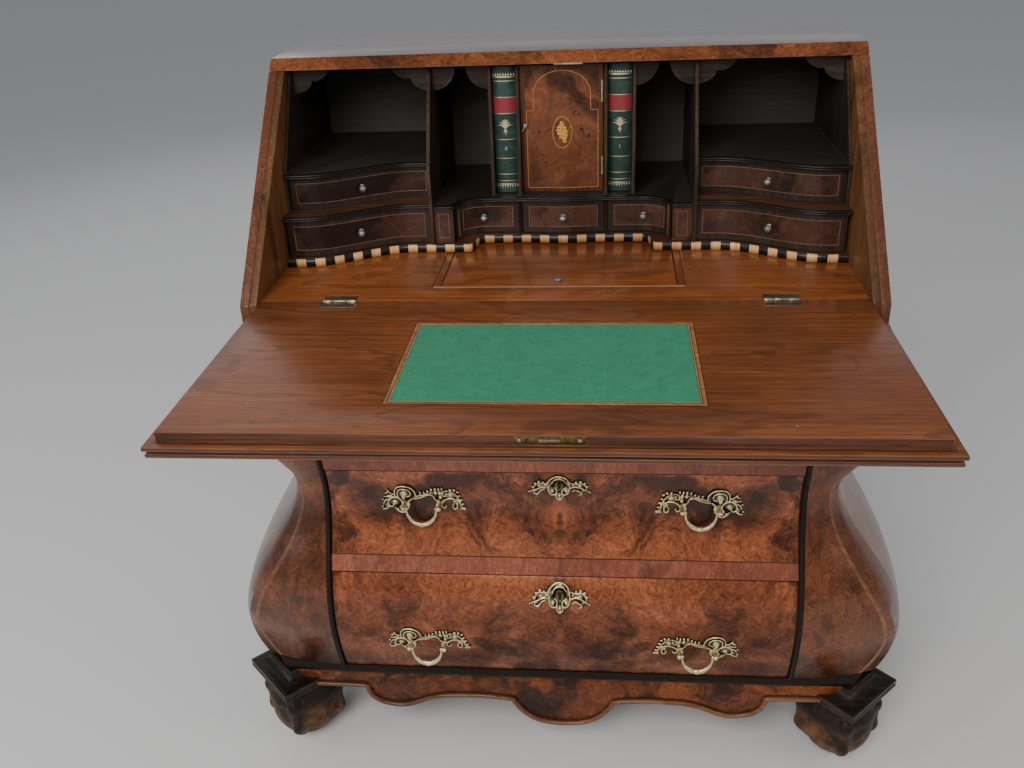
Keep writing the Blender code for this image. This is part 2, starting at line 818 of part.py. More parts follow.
def drawer_box(name, low, high):
    """The box starts behind the front's inner face, and its sides follow that face."""
    zs = heights(low, high)
    side = [(front_at(z) + front_thickness + fit_gap, z) for z in zs]
    side += [(box_back, high), (box_back, low)]
    made = plate("box", side, -box_half, box_half, "x")
    cut(made, box(
        "inside",
        (-box_half + drawer_side, box_front, low + drawer_bottom),
        (box_half - drawer_side, box_back - drawer_side, high + overrun),
    ))
    return finish(made, name, carcass_wood)


box_drop_top = 0.014
spans = {
    "upper": (upper_drawer_bottom + drawer_gap, upper_drawer_top - drawer_gap),
    "lower": (base_top + drawer_gap, lower_drawer_top - drawer_gap),
}
for word, (low, high) in spans.items():
    drawer_front(word + "_drawer_front", low, high)
    drawer_box(word + "_drawer_box", low - drawer_gap + fit_gap, high - box_drop_top)

# Brass on the long drawers, bent to the swelling front
brass_thickness = 0.0025
brass_gap = 0.0005
handle_inset = 0.141
handle_x = drawer_half_width - handle_inset
bail_half = 0.0223
post_radius = 0.0040
bail_radius = 0.0028
bail_out = 0.0165
bail_drop = 0.033
plate_rise = 0.010
plate_width, plate_height = 0.124, 0.046
handle_outline_shares = (
    (-0.50, -0.42), (-0.44, -0.16), (-0.47, 0.14), (-0.38, 0.34), (-0.28, 0.50), (-0.14, 0.46), (-0.06, 0.20),
    (0.04, 0.28), (0.14, 0.42), (0.26, 0.38), (0.37, 0.30), (0.41, 0.06), (0.46, -0.22), (0.50, -0.40),
    (0.40, -0.42), (0.30, -0.26), (0.22, -0.34), (0.16, -0.06), (0.04, 0.08), (-0.08, 0.04), (-0.17, -0.12),
    (-0.22, -0.42), (-0.32, -0.50), (-0.42, -0.38),
)
escutcheon_width, escutcheon_height = 0.090, 0.046
escutcheon_outline_shares = (
    (-0.50, -0.10), (-0.40, 0.14), (-0.26, 0.20), (-0.18, 0.40), (0.0, 0.50), (0.18, 0.40), (0.26, 0.20),
    (0.40, 0.14), (0.50, -0.10), (0.36, -0.20), (0.22, -0.12), (0.14, -0.40), (0.0, -0.50), (-0.14, -0.40),
    (-0.22, -0.12), (-0.36, -0.20),
)
key_radius = 0.0030


def front_skin(low, high):
    """A thin band that stands just clear of the drawers' swelling face."""
    zs = heights(low, high)
    outer = [(front_at(z) - brass_gap - brass_thickness, z) for z in zs]
    inner = [(front_at(z) - brass_gap, z) for z in reversed(zs)]
    return outer + inner


def bent_plate(name, x, z, width, height, shares, flip):
    outline = [(x + flip * width * a, z + height * b) for a, b in shares]
    if flip < 0:
        outline.reverse()
    deep = front_belly + overrun
    made = plate(name, outline, -deep, overrun, "y")
    skin = plate("skin", front_skin(z - height, z + height), x - width, x + width, "x")
    return combine(made, skin, "INTERSECT")


def handle(word, side_word, side, pivot_height):
    x = side * handle_x
    middle_height = pivot_height + plate_rise
    made = bent_plate("plate", x, middle_height, plate_width, plate_height, handle_outline_shares, -side)
    pivot_y = front_at(pivot_height) - bail_out
    skin_y = front_at(pivot_height) - brass_gap - brass_thickness / 2
    for end in (-1, 1):
        post_x = x + end * (bail_half + bail_radius + post_radius + fit_gap)
        start, tip = (post_x, skin_y, pivot_height), (post_x, pivot_y - post_radius, pivot_height)
        join(made, rod("post", start, tip, post_radius, None, 8))
    finish(made, f"{word}_handle_plate_{side_word}", brass)
    points = []
    arc_steps = 10
    for k in range(arc_steps + 1):
        angle = math.pi * k / arc_steps
        points.append((-bail_half * math.cos(angle), 0, -bail_drop * math.sin(angle)))
    bail = tube("bail", points, bail_radius, 2)
    smooth(bail, 60)
    finish(bail, f"{word}_bail_{side_word}", brass)
    bail.location = (x, pivot_y, pivot_height)
    return bail


def escutcheon(word, z):
    made = bent_plate("plate", 0.0, z, escutcheon_width, escutcheon_height, escutcheon_outline_shares, 1)
    deep = front_belly + overrun
    cut(made, rod("keyhole", (0, -deep, z), (0, overrun, z), key_radius, None, 8))
    finish(made, word + "_escutcheon", brass)


upper_pivot_share, lower_pivot_share = 0.434, 0.633
upper_pivot = upper_drawer_top - upper_drawer_height * upper_pivot_share
lower_pivot = lower_drawer_top - lower_drawer_height * lower_pivot_share
for word, pivot in (("upper", upper_pivot), ("lower", lower_pivot)):
    for side, side_word in ((-1, "left"), (1, "right")):
        handle(word, side_word, side, pivot)
upper_lock_share, lower_lock_share = 0.184, 0.149
upper_lock_height = upper_drawer_top - upper_drawer_height * upper_lock_share
lower_lock_height = lower_drawer_top - lower_drawer_height * lower_lock_share
escutcheon("upper", upper_lock_height)
escutcheon("lower", lower_lock_height)

# The stepped gallery of small drawers and pigeonholes on the back of the bed
riser_height = 0.013
outer_curve_start, outer_curve_end = 0.380, 0.225
jog_outer, jog_inner = 0.1385, 0.1264
gallery_half = inner_half - fit_gap * 2
gallery_back = back_inner - fit_gap * 2
gallery_top = under_top - fit_gap
partition = 0.0050
first_partition = 0.1925
second_partition = 0.1040
third_partition = 0.0625
drawer_reveal = 0.009
tier_setback = 0.036
shelf = 0.005
lower_tier_height, upper_tier_height, centre_tier_height = 0.056, 0.050, 0.052
tier_low = writing_height + riser_height
centre_bow = 0.0045
lower_tier_top = tier_low + lower_tier_height
upper_tier_low = lower_tier_top + shelf
upper_tier_top = upper_tier_low + upper_tier_height
centre_shelf = tier_low + centre_tier_height
curve_steps = 10


def outer_curve(x):
    """Depth of the side sections' S-shaped front at a half width."""
    share = min(1.0, max(0.0, (outer_curve_start - x) / (outer_curve_start - outer_curve_end)))
    return riser_outer_y + (riser_inner_y - riser_outer_y) * ease(share)


def bow(x):
    """How far the middle of the gallery swells forward at a half width."""
    share = min(1.0, abs(x) / third_partition)
    return -centre_bow * (1 - ease(share))


def outer_line(low_x, high_x, setback):
    """Points of the S-shaped front from high_x in to low_x."""
    xs = [high_x + (low_x - high_x) * k / curve_steps for k in range(curve_steps + 1)]
    return [(x, outer_curve(x) + setback) for x in xs]


base_low_z = writing_height + fit_gap
base_right = [(gallery_half, gallery_back)] + outer_line(jog_outer, gallery_half, 0.0)
base_right.append((jog_inner, riser_centre_y))
bow_xs = [third_partition * (1 - k / curve_steps) for k in range(curve_steps)]
base_right += [(x, riser_centre_y + bow(x)) for x in bow_xs]
base_middle = [(0.0, riser_centre_y + bow(0.0))]
base_outline_points = base_right + base_middle + [(-x, y) for x, y in reversed(base_right)]
riser = plate("riser", base_outline_points, base_low_z, tier_low - fit_gap)
finish(riser, "gallery_base", gallery_wood)

# Side sections: two curved drawers under an open pigeonhole with a shaped valance
valance_thickness = 0.006
valance_height = 0.038
section_out = gallery_half
fall_room = 0.004
side_front_low = riser_inner_y - drawer_reveal / 3


def upright(name, x, low, front_low, front_high, thickness=partition):
    outline = [
        (front_low, low), (front_low, upper_tier_top), (front_high, gallery_top), (gallery_back, gallery_top),
        (gallery_back, low),
    ]
    return plate(name, outline, x, x + thickness, "x")


def tier_shelf(name, low_x, high_x, setback, low, high):
    front = outer_line(low_x, high_x, setback)
    outline = [(high_x, gallery_back)] + front + [(low_x, gallery_back)]
    return plate(name, outline, low, high)


partition_top_y = slope.x / slope.y * (gallery_top - writing_height) + fall_room
section = upright("section", first_partition, tier_low, side_front_low, partition_top_y)
outer_cheek = 0.004
cheek_front = riser_outer_y + tier_setback
cheek_outline = [
    (cheek_front, tier_low), (cheek_front, upper_tier_top), (partition_top_y, gallery_top),
    (gallery_back, gallery_top), (gallery_back, tier_low),
]
shelf_in, shelf_out = first_partition + partition / 2, section_out - outer_cheek / 2
lower_shelf_set = drawer_reveal / 2
join(section, tier_shelf("shelf", shelf_in, shelf_out, lower_shelf_set, lower_tier_top, upper_tier_low))
join(section, plate("cheek", cheek_outline, section_out - outer_cheek, section_out, "x"))
join(section, tier_shelf("shelf", shelf_in, shelf_out, tier_setback, upper_tier_top, upper_tier_top + shelf))
valance_y = partition_top_y + valance_thickness
bracket = 0.060
double_lobe_shares = (
    (0.0, 1.0), (0.18, 0.97), (0.34, 0.86), (0.45, 0.70), (0.50, 0.52), (0.62, 0.54), (0.76, 0.46), (0.88, 0.32),
    (0.96, 0.10),
)
single_lobe_shares = (
    (0.0, 1.0), (0.28, 0.97), (0.55, 0.86), (0.78, 0.66), (0.92, 0.40), (1.0, 0.10),
)


def valance(low_x, high_x, reach, shares):
    """A shaped bracket in each top corner of a pigeonhole, joined by a thin strip."""
    left = [(low_x + reach * a, gallery_top - valance_height * b) for a, b in shares]
    right = [(high_x - reach * a, gallery_top - valance_height * b) for a, b in reversed(shares)]
    outline = left + right + [(high_x, gallery_top), (low_x, gallery_top)]
    return plate("valance", outline, valance_y, valance_y + valance_thickness, "y")


join(section, valance(shelf_in, shelf_out, bracket, double_lobe_shares))
both_sides(section, "gallery_section", gallery_wood)

# Centre section: a cupboard between two book boxes, pigeonholes, and three drawers below
concave_start, concave_end = 0.163, 0.115
centre_half = first_partition - fit_gap
shelf_front = riser_centre_y + drawer_reveal
inner_bracket_share = 0.42


def shelf_curve(low_x, high_x, setback):
    """The concave front over the small side drawers: from the end block back to the cupboard's line."""
    points = []
    for k in range(curve_steps + 1):
        share = 1 - math.cos(math.pi / 2 * k / curve_steps)
        x = high_x + (low_x - high_x) * share
        points.append((x, concave_depth(x) + setback))
    return points


def concave_depth(x):
    """Depth of that concave front at a half width."""
    share = min(1.0, max(0.0, (x - concave_end) / (concave_start - concave_end)))
    near = riser_inner_y + drawer_reveal
    return near + (shelf_front - near) * math.sqrt(1 - share * share) + bow(x)


shelf_half = [(centre_half, gallery_back), (centre_half, concave_depth(centre_half) - drawer_reveal / 2)]
shelf_half += shelf_curve(third_partition, concave_start, -drawer_reveal / 2)[:-1]
shelf_half += [(x, concave_depth(x) - drawer_reveal / 2) for x in bow_xs]
shelf_middle = [(0.0, concave_depth(0.0) - drawer_reveal / 2)]
shelf_points = shelf_half + shelf_middle + [(-x, y) for x, y in reversed(shelf_half)]
centre = plate("centre", shelf_points, centre_shelf, centre_shelf + shelf)
for side in (-1, 1):
    for place, low in ((third_partition, tier_low), (second_partition, centre_shelf + shelf / 2)):
        x = place if side > 0 else -place - partition
        front = shelf_front + (fit_gap if low == tier_low else drawer_reveal)
        outline = [
            (front, low), (front, centre_shelf + shelf), (partition_top_y, gallery_top),
            (gallery_back, gallery_top), (gallery_back, low),
        ]
        join(centre, plate("upright", outline, x, x + partition, "x"))
    near, far = sorted((side * (concave_start + fit_gap), side * centre_half))
    block_front = riser_inner_y + drawer_reveal / 2
    block_end = (far, gallery_back, centre_shelf + shelf / 2)
    join(centre, box("end_block", (near, block_front, tier_low), block_end))
roof_low = gallery_top - shelf
roof_half = second_partition + partition / 2
roof_front = partition_top_y + partition
join(centre, box("roof", (-roof_half, roof_front, roof_low), (roof_half, gallery_back, gallery_top)))
for side in (-1, 1):
    near, far = sorted((side * roof_half, side * centre_half))
    join(centre, valance(near, far, (far - near) * inner_bracket_share, single_lobe_shares))
finish(centre, "gallery_centre", gallery_wood)

# Small drawers, each with its turned knob
small_clear = 0.0008
small_wall = 0.005
small_front = 0.010
small_depth_gap = 0.010
knob_stem = 0.0023
knob_flat_share = 0.8
inner_knob_shift = 0.031


def small_drawer(name, front_line, low, high, back, knob_x):
    """A drawer whose front follows a line of points from right to left in plan."""
    xs = [x for x, _ in front_line]
    right, left = max(xs), min(xs)
    outline = [(right, back)] + front_line + [(left, back)]
    made = plate("drawer", outline, low, high)
    deepest = max(y for _, y in front_line)
    cut(made, box(
        "inside",
        (left + small_wall, deepest + small_front, low + small_wall),
        (right - small_wall, back - small_wall, high + overrun),
    ))
    nearest = min(front_line, key=lambda point: abs(point[0] - knob_x))[1]
    z = (low + high) / 2
    knob_place = (knob_x, nearest - knob_reach, z)
    join(made, rod("stem", (knob_x, nearest + small_front / 2, z), knob_place, knob_stem, None, 8))
    join(made, ball("knob", knob_place, (knob_radius, knob_radius * knob_flat_share, knob_radius), 10, 6))
    return finish(made, name, gallery_wood)


drawer_back = gallery_back - small_depth_gap
out_x = section_out - outer_cheek - small_clear
in_x = first_partition + partition + small_clear
side_middle = (out_x + in_x) / 2
for side, word in ((-1, "left"), (1, "right")):
    for tier, setback, low, high in (
        ("lower", drawer_reveal, tier_low + small_clear, lower_tier_top - small_clear),
        ("upper", tier_setback + drawer_reveal, upper_tier_low + small_clear, upper_tier_top - small_clear),
    ):
        line = outer_line(in_x, out_x, setback)
        if side < 0:
            line = [(-x, y) for x, y in reversed(line)]
        small_drawer(f"small_drawer_{tier}_{word}", line, low, high, drawer_back, side * side_middle)
    near_x = third_partition + partition + small_clear
    line = shelf_curve(near_x, concave_start - small_clear, drawer_reveal / 4)
    inner_knob = (near_x + concave_end) / 2 + inner_knob_shift
    if side < 0:
        line = [(-x, y) for x, y in reversed(line)]
    small_drawer(
        f"small_drawer_inner_{word}", line, tier_low + small_clear, centre_shelf - small_clear, drawer_back,
        side * inner_knob,
    )
centre_edge = third_partition - small_clear
centre_xs = [centre_edge * (1 - 2 * k / curve_steps) for k in range(curve_steps + 1)]
centre_line = [(x, concave_depth(abs(x))) for x in centre_xs]
small_drawer(
    "small_drawer_centre", centre_line, tier_low + small_clear, centre_shelf - small_clear, drawer_back, 0.0,
)

# The cupboard door, hung on pins at its right edge, and its latch knob
door_thickness = 0.010
door_low = centre_shelf + shelf + small_clear
door_high = roof_low - small_clear
door_half = third_partition - small_clear
door_y = partition_top_y + partition
pin_radius = 0.0022
pin_x, pin_y = door_half - pin_radius, door_y + pin_radius
door = box("door", (-door_half, door_y, door_low), (pin_x, door_y + door_thickness, door_high))
join(door, rod("hinge_edge", (pin_x, pin_y, door_low), (pin_x, pin_y, door_high), pin_radius, None, 10))
latch_inset, latch_rise, latch_reach = 0.006, 0.006, 0.008
latch_stem, latch_radius = 0.0016, 0.0036
latch_x, latch_z = -door_half + latch_inset, (door_low + door_high) / 2 + latch_rise
latch_tip = (latch_x, door_y - latch_reach, latch_z)
join(door, rod("latch", (latch_x, door_y + door_thickness / 2, latch_z), latch_tip, latch_stem, None, 8))
join(door, ball("latch_knob", latch_tip, (latch_radius, latch_radius * knob_flat_share, latch_radius), 8, 6))
finish(door, "cupboard_door", burr_walnut)

# Book boxes: secret upright drawers behind leather spines
book_near = third_partition + partition + small_clear
book_far = second_partition - small_clear
spine_round = 0.004
shoulder_share, shoulder_round_share = 0.2, 0.25
for side, word in ((-1, "left"), (1, "right")):
    near, far = sorted((side * book_near, side * book_far))
    middle = (near + far) / 2
    inset = (far - near) * shoulder_share
    edge_y, shoulder_y = door_y + spine_round, door_y + spine_round * shoulder_round_share
    spine = [(far, edge_y), (far - inset, shoulder_y), (middle, door_y)]
    spine += [(near + inset, shoulder_y), (near, edge_y)]
    outline = [(far, drawer_back)] + spine + [(near, drawer_back)]
    made = plate("book", outline, door_low, door_high)
    hollow_low = (near + small_wall, edge_y + small_front, door_low + small_wall)
    hollow_high = (far + overrun, drawer_back - small_wall, door_high - small_wall)
    if side > 0:
        hollow_low = (near - overrun,) + hollow_low[1:]
        hollow_high = (far - small_wall,) + hollow_high[1:]
    cut(made, box("inside", hollow_low, hollow_high))
    finish(made, "book_box_" + word, green_leather)

# One empty carries the whole bureau, so that the origin lies under its middle
carrier = bpy.data.objects.new("bureau", None)
collection.objects.link(carrier)
carrier.location = (0.0, -(case_back + fall_front) / 2, 0.0)
for obj in list(collection.objects) + list(helpers.objects):
    if obj != carrier:
        obj.parent = carrier
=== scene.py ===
"""Sizes are in metres. As in the case's own drawings, y is 0 on the fall's hinge line while a mesh is made, and
place() moves each finished mesh back by case_shift into the shared frame.
"""

import math

import bmesh
import bpy
from mathutils import Matrix, Vector, noise


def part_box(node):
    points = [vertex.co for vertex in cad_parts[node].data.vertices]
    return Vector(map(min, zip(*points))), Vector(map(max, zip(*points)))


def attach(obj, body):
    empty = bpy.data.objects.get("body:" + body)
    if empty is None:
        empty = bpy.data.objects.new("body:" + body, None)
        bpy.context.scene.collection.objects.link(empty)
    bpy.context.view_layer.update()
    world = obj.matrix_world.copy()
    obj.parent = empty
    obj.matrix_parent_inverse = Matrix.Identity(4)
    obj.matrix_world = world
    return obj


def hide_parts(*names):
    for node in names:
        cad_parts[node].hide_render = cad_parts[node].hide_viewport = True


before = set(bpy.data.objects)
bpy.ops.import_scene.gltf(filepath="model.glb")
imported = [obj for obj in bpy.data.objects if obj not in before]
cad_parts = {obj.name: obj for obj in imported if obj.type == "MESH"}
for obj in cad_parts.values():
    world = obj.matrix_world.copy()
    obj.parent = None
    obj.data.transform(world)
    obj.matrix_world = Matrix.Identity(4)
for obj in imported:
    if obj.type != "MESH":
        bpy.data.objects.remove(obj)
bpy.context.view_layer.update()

# The room: a pale matt floor under one large soft light above the front, a weaker one on each side and a
# bright wall behind, with the camera where the photograph was taken from
floor_reach = 16.0
floor_colour = (0.86, 0.855, 0.85)
eye = Vector((0.0702, -1.2624, 1.2816))
eye_yaw, eye_pitch, eye_roll = (math.radians(a) for a in (-6.28, 27.08, -2.65))
lens, film_width = 34.63, 36.0
look_at = Vector((0.0, 0.0, 0.65))
lamps = {
    "key_light": ((-0.7, -2.75, 2.65), (1.9, 1.9), 84.0, (1.0, 0.975, 0.94)),
    "left_light": ((-2.8, -0.9, 1.5), (1.6, 1.6), 18.0, (0.93, 0.96, 1.0)),
    "right_light": ((2.7, -1.2, 1.7), (1.6, 1.6), 16.0, (1.0, 0.96, 0.92)),
    "back_light": ((-2.3, 2.7, 2.5), (2.4, 2.4), 12.0, (0.95, 0.97, 1.0)),
    "wall_light": ((0.0, 4.2, 1.75), (5.2, 1.8), 6.4, (1.0, 0.97, 0.99)),
}
sky_colour, sky_strength = (0.93, 0.95, 1.0), 0.26


def plain_finish(name, colour, roughness):
    finish = bpy.data.materials.new(name)
    finish.use_nodes = True
    shader = finish.node_tree.nodes["Principled BSDF"]
    shader.inputs["Base Color"].default_value = (*colour, 1.0)
    shader.inputs["Roughness"].default_value = roughness
    return finish


bpy.ops.mesh.primitive_plane_add(size=floor_reach * 2)
floor = bpy.context.object
floor.name = "floor"
floor.data.materials.append(plain_finish("floor_paint", floor_colour, 0.65))

for name, (place_at, size, power, colour) in lamps.items():
    lamp = bpy.data.lights.new(name, "AREA")
    lamp.shape = "RECTANGLE"
    lamp.size, lamp.size_y = size
    lamp.energy, lamp.color = power, colour
    holder = bpy.data.objects.new(name, lamp)
    bpy.context.scene.collection.objects.link(holder)
    holder.location = place_at
    holder.rotation_euler = (look_at - Vector(place_at)).to_track_quat("-Z", "Y").to_euler()

world = bpy.data.worlds.new("studio")
world.use_nodes = True
world.node_tree.nodes["Background"].inputs["Color"].default_value = (*sky_colour, 1.0)
world.node_tree.nodes["Background"].inputs["Strength"].default_value = sky_strength
bpy.context.scene.world = world

ahead = Vector((
    math.sin(eye_yaw) * math.cos(eye_pitch), math.cos(eye_yaw) * math.cos(eye_pitch), -math.sin(eye_pitch)
))
level = Vector((math.cos(eye_yaw), -math.sin(eye_yaw), 0.0))
up = level.cross(ahead)
right = math.cos(eye_roll) * level + math.sin(eye_roll) * up
over = -math.sin(eye_roll) * level + math.cos(eye_roll) * up
camera_data = bpy.data.cameras.new("camera")
camera_data.lens, camera_data.sensor_width = lens, film_width
camera = bpy.data.objects.new("camera", camera_data)
bpy.context.scene.collection.objects.link(camera)
camera.matrix_world = Matrix.Translation(eye) @ Matrix((right, over, -ahead)).transposed().to_4x4()
bpy.context.scene.camera = camera

# The base board closes the chest below and carries everything. Its edge is an ebonised moulding that follows
# the swelling front and sides: a soft round over a small quirk, rubbed brown where feet and brooms touch it.
case_depth = 0.456
case_shift = case_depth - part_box("top_board")[1].y
floor_gap, base_high, shoulder_height = 0.16, 0.178, 0.552
front_halves = 0.344
front_base, front_belly, front_waist, front_shoulder = 0.048, 0.077, 0.017, 0.03
front_belly_height, front_waist_height = 0.29, 0.485
edge_base, edge_belly, edge_waist, edge_shoulder = 0.434, 0.49, 0.388, 0.43
edge_belly_height, edge_waist_height = 0.228, 0.48
side_base, side_belly, side_waist = 0.52, 0.546, 0.424
side_belly_height, side_waist_height = 0.207, 0.505
cant_base, cant_share, side_fullness_share = 0.03, 0.3, 0.45
stile_back = 0.03
ebony_dark, ebony_mid, ebony_worn = (0.006, 0.0045, 0.004), (0.014, 0.01, 0.008), (0.075, 0.032, 0.014)


def place(name, mesh, finish, body, slot, *nodes, shift=True):
    """Puts a finished mesh into the shared frame, on its body, in the place of the solids it stands for."""
    if shift:
        mesh.transform(Matrix.Translation((0.0, -case_shift, 0.0)))
    mesh.materials.clear()
    for one in finish if isinstance(finish, (list, tuple)) else [finish]:
        mesh.materials.append(one)
    piece = bpy.data.objects.new(name, mesh)
    bpy.context.scene.collection.objects.link(piece)
    if nodes:
        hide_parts(*nodes)
    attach(piece, body)
    return piece


def smoothed(name, shape, degrees=35.0):
    """A mesh from a bmesh, shaded smooth but for the edges sharper than some degrees."""
    mesh = bpy.data.meshes.new(name)
    shape.to_mesh(mesh)
    shape.free()
    mesh.shade_smooth()
    mesh.set_sharp_from_angle(angle=math.radians(degrees))
    return mesh


def closed(name, shape, degrees=35.0, weld=1e-5):
    """A mesh from a bmesh: doubles merged, faces turned outwards, round parts shaded smooth."""
    bmesh.ops.remove_doubles(shape, verts=shape.verts, dist=weld)
    bmesh.ops.recalc_face_normals(shape, faces=shape.faces)
    return smoothed(name, shape, degrees)


def loft(shape, rings, ends=True):
    """Skins a stack of rings of points, one ring above another."""
    rows = [[shape.verts.new(point) for point in ring] for ring in rings]
    for low, high in zip(rows, rows[1:]):
        for i in range(len(low)):
            j = (i + 1) % len(low)
            shape.faces.new((low[i], low[j], high[j], high[i]))
    if ends:
        shape.faces.new(rows[0])
        shape.faces.new(rows[-1])


def lofted(name, rings, degrees=35.0):
    """One closed mesh skinned over rings."""
    shape = bmesh.new()
    loft(shape, rings)
    return closed(name, shape, degrees)


def is_socket(value):
    return isinstance(value, bpy.types.NodeSocket)


def node_in(tree, kind, inputs=None, prefix="ShaderNode", **settings):
    """Adds a node; each of its inputs is a socket or a plain value. With no tree it joins its sockets' own."""
    tree = tree or next(value for value in inputs.values() if is_socket(value)).id_data
    made = tree.nodes.new(prefix + kind)
    for key, value in settings.items():
        setattr(made, key, value)
    for key, value in (inputs or {}).items():
        if is_socket(value):
            tree.links.new(value, made.inputs[key])
        else:
            made.inputs[key].default_value = value
    return made


def effect(name, inputs, outputs, family="ShaderNodeTree"):
    """A node group: its tree, and the named sockets that the caller fills in the nodes between.

    An input is given as its kind of socket or, when it is a number, as its usual value.
    """
    tree = bpy.data.node_groups.new(name, family)
    for label, given in inputs.items():
        kind = given if isinstance(given, str) else "Float"
        socket = tree.interface.new_socket(label, in_out="INPUT", socket_type="NodeSocket" + kind)
        if kind == "Float":
            socket.default_value = given
    for label, kind in outputs.items():
        tree.interface.new_socket(label, in_out="OUTPUT", socket_type="NodeSocket" + kind)
    return tree, tree.nodes.new("NodeGroupInput").outputs, tree.nodes.new("NodeGroupOutput").inputs


def math_in(operation, first, second=0.0, third=None):
    inputs = {0: first, 1: second} | ({} if third is None else {2: third})
    return node_in(None, "Math", inputs, operation=operation).outputs[0]


def times(first, second):
    return math_in("MULTIPLY", first, second)


def plus(first, second):
    return math_in("ADD", first, second)


def minus(first, second):
    return math_in("SUBTRACT", first, second)


def scaled(value, factor, offset):
    return math_in("MULTIPLY_ADD", value, factor, offset)


def vector_in(operation, first, second=None, output="Vector"):
    inputs = {0: first} | ({} if second is None else {"Scale" if operation == "SCALE" else 1: second})
    return node_in(None, "VectorMath", inputs, operation=operation).outputs[output]


def blend_in(share, first, second, how="MIX"):
    """Two colours mixed by a share; each is a socket or three numbers."""
    first, second = ((*c, 1.0) if isinstance(c, (tuple, list)) else c for c in (first, second))
    made = node_in(None, "Mix", {"Factor": share, 6: first, 7: second}, data_type="RGBA", blend_type=how)
    return made.outputs[2]


def ramp_in(value, low, high):
    """A smooth step from 0 at low to 1 at high."""
    inputs = {"Value": value, "From Min": low, "From Max": high}
    return node_in(None, "MapRange", inputs, interpolation_type="SMOOTHSTEP").outputs["Result"]


def cloud_in(vector, scale, detail, rough=0.55, distortion=0.0):
    inputs = {"Vector": vector, "Scale": scale, "Detail": detail, "Roughness": rough, "Distortion": distortion}
    return node_in(None, "TexNoise", inputs).outputs["Fac"]


def stretch_in(vector, scale, turn=(0.0, 0.0, 0.0)):
    return node_in(None, "Mapping", {"Vector": vector, "Scale": scale, "Rotation": turn}).outputs["Vector"]


def feed(inputs, **values):
    """Links a group's results to the outputs that its users see."""
    for label, value in values.items():
        inputs[label].id_data.links.new(value, inputs[label])


def opened(finish):
    """A finish to work on, new if only its name is given: it, its tree, its shader, its place, its colour."""
    if isinstance(finish, str):
        finish = bpy.data.materials.new(finish)
        finish.use_nodes = True
    tree = finish.node_tree
    shader = tree.nodes["Principled BSDF"]
    links = shader.inputs["Base Color"].links
    colour = links[0].from_socket if links else None
    return finish, tree, shader, node_in(tree, "TexCoord").outputs["Object"], colour


def surfaced(tree, shader, colour, height=None, strength=0.35, distance=0.0002):
    """Feeds a shader its colour and, from a height, its bump."""
    tree.links.new(colour, shader.inputs["Base Color"])
    if height is not None:
        bump = node_in(tree, "Bump", {"Strength": strength, "Distance": distance, "Height": height})
        tree.links.new(bump.outputs["Normal"], shader.inputs["Normal"])


# The rubbed edges that every old surface has: where a rounded edge's normal leaves the face's own
rub, rub_in, rub_out = effect(
    "rubbed_edges", {"Vector": "Vector", "Width": 0.0015, "Raggedness": 0.5}, {"Rubbed": "Float"}
)
rounded = node_in(rub, "Bevel", {"Radius": rub_in["Width"]}, samples=4).outputs["Normal"]
flat = node_in(rub, "NewGeometry").outputs["Normal"]
agree = vector_in("DOT_PRODUCT", rounded, flat, "Value")
edge_share = ramp_in(agree, 0.985, 0.9)
ragged = ramp_in(cloud_in(rub_in["Vector"], 46.0, 5.0), 0.36, 0.62)
kept = times(ragged, rub_in["Raggedness"])
spare = minus(1.0, rub_in["Raggedness"])
rubbed = times(edge_share, plus(kept, spare))
feed(rub_out, Rubbed=rubbed)

# Straight-grained wood: wandering growth lines, fine pores and slow drifts of colour along the board
tones = {"Dark": "Color", "Middle": "Color", "Light": "Color"}
surface_kinds = {"Color": "Color", "Height": "Float", "Gloss": "Float"}
grain, grain_in, grain_out = effect(
    "straight_grain",
    {"Vector": "Vector", "Lines": 34.0, "Wander": 1.6, **tones, "Streaks": 0.6, "Drift": 0.5}, surface_kinds,
)
along = stretch_in(grain_in["Vector"], (1.0, 9.0, 9.0))
broad = cloud_in(stretch_in(grain_in["Vector"], (1.3, 5.0, 5.0)), 1.7, 4.0, 0.5, 0.4)
fibres = cloud_in(stretch_in(grain_in["Vector"], (6.5, 290.0, 290.0)), 1.0, 5.0, 0.6, 0.3)
pores = cloud_in(stretch_in(grain_in["Vector"], (34.0, 640.0, 640.0)), 1.0, 3.0, 0.6)
parts = node_in(grain, "SeparateXYZ", {0: grain_in["Vector"]})
across = plus(parts.outputs["Y"], times(parts.outputs["Z"], 0.83))
figure = times(across, grain_in["Lines"])
bend = times(broad, times(grain_in["Wander"], 6.0))
rings = math_in("SINE", times(plus(figure, bend), 2.9))
rings = scaled(rings, 0.5, 0.5)
streak = times(ramp_in(fibres, 0.34, 0.68), 0.62)
mixed = plus(times(rings, 0.24), times(streak, 0.95))
tone = blend_in(ramp_in(mixed, 0.12, 0.92), grain_in["Middle"], grain_in["Light"])
dusk = ramp_in(cloud_in(along, 1.6, 7.0, 0.66, 0.8), 0.5, 0.3)
tone = blend_in(times(dusk, grain_in["Streaks"]), tone, grain_in["Dark"])
wide = ramp_in(cloud_in(grain_in["Vector"], 2.6, 3.0), 0.62, 0.36)
tone = blend_in(times(wide, grain_in["Drift"]), tone, grain_in["Dark"])
growth = ramp_in(rings, 0.9, 1.0)
tone = blend_in(times(growth, 0.38), tone, grain_in["Dark"])
dots = ramp_in(pores, 0.56, 0.66)
tone = blend_in(times(dots, 0.55), tone, grain_in["Dark"])
feed(grain_out, Color=tone, Height=minus(streak, times(dots, 0.8)), Gloss=scaled(mixed, 0.14, 0.0))

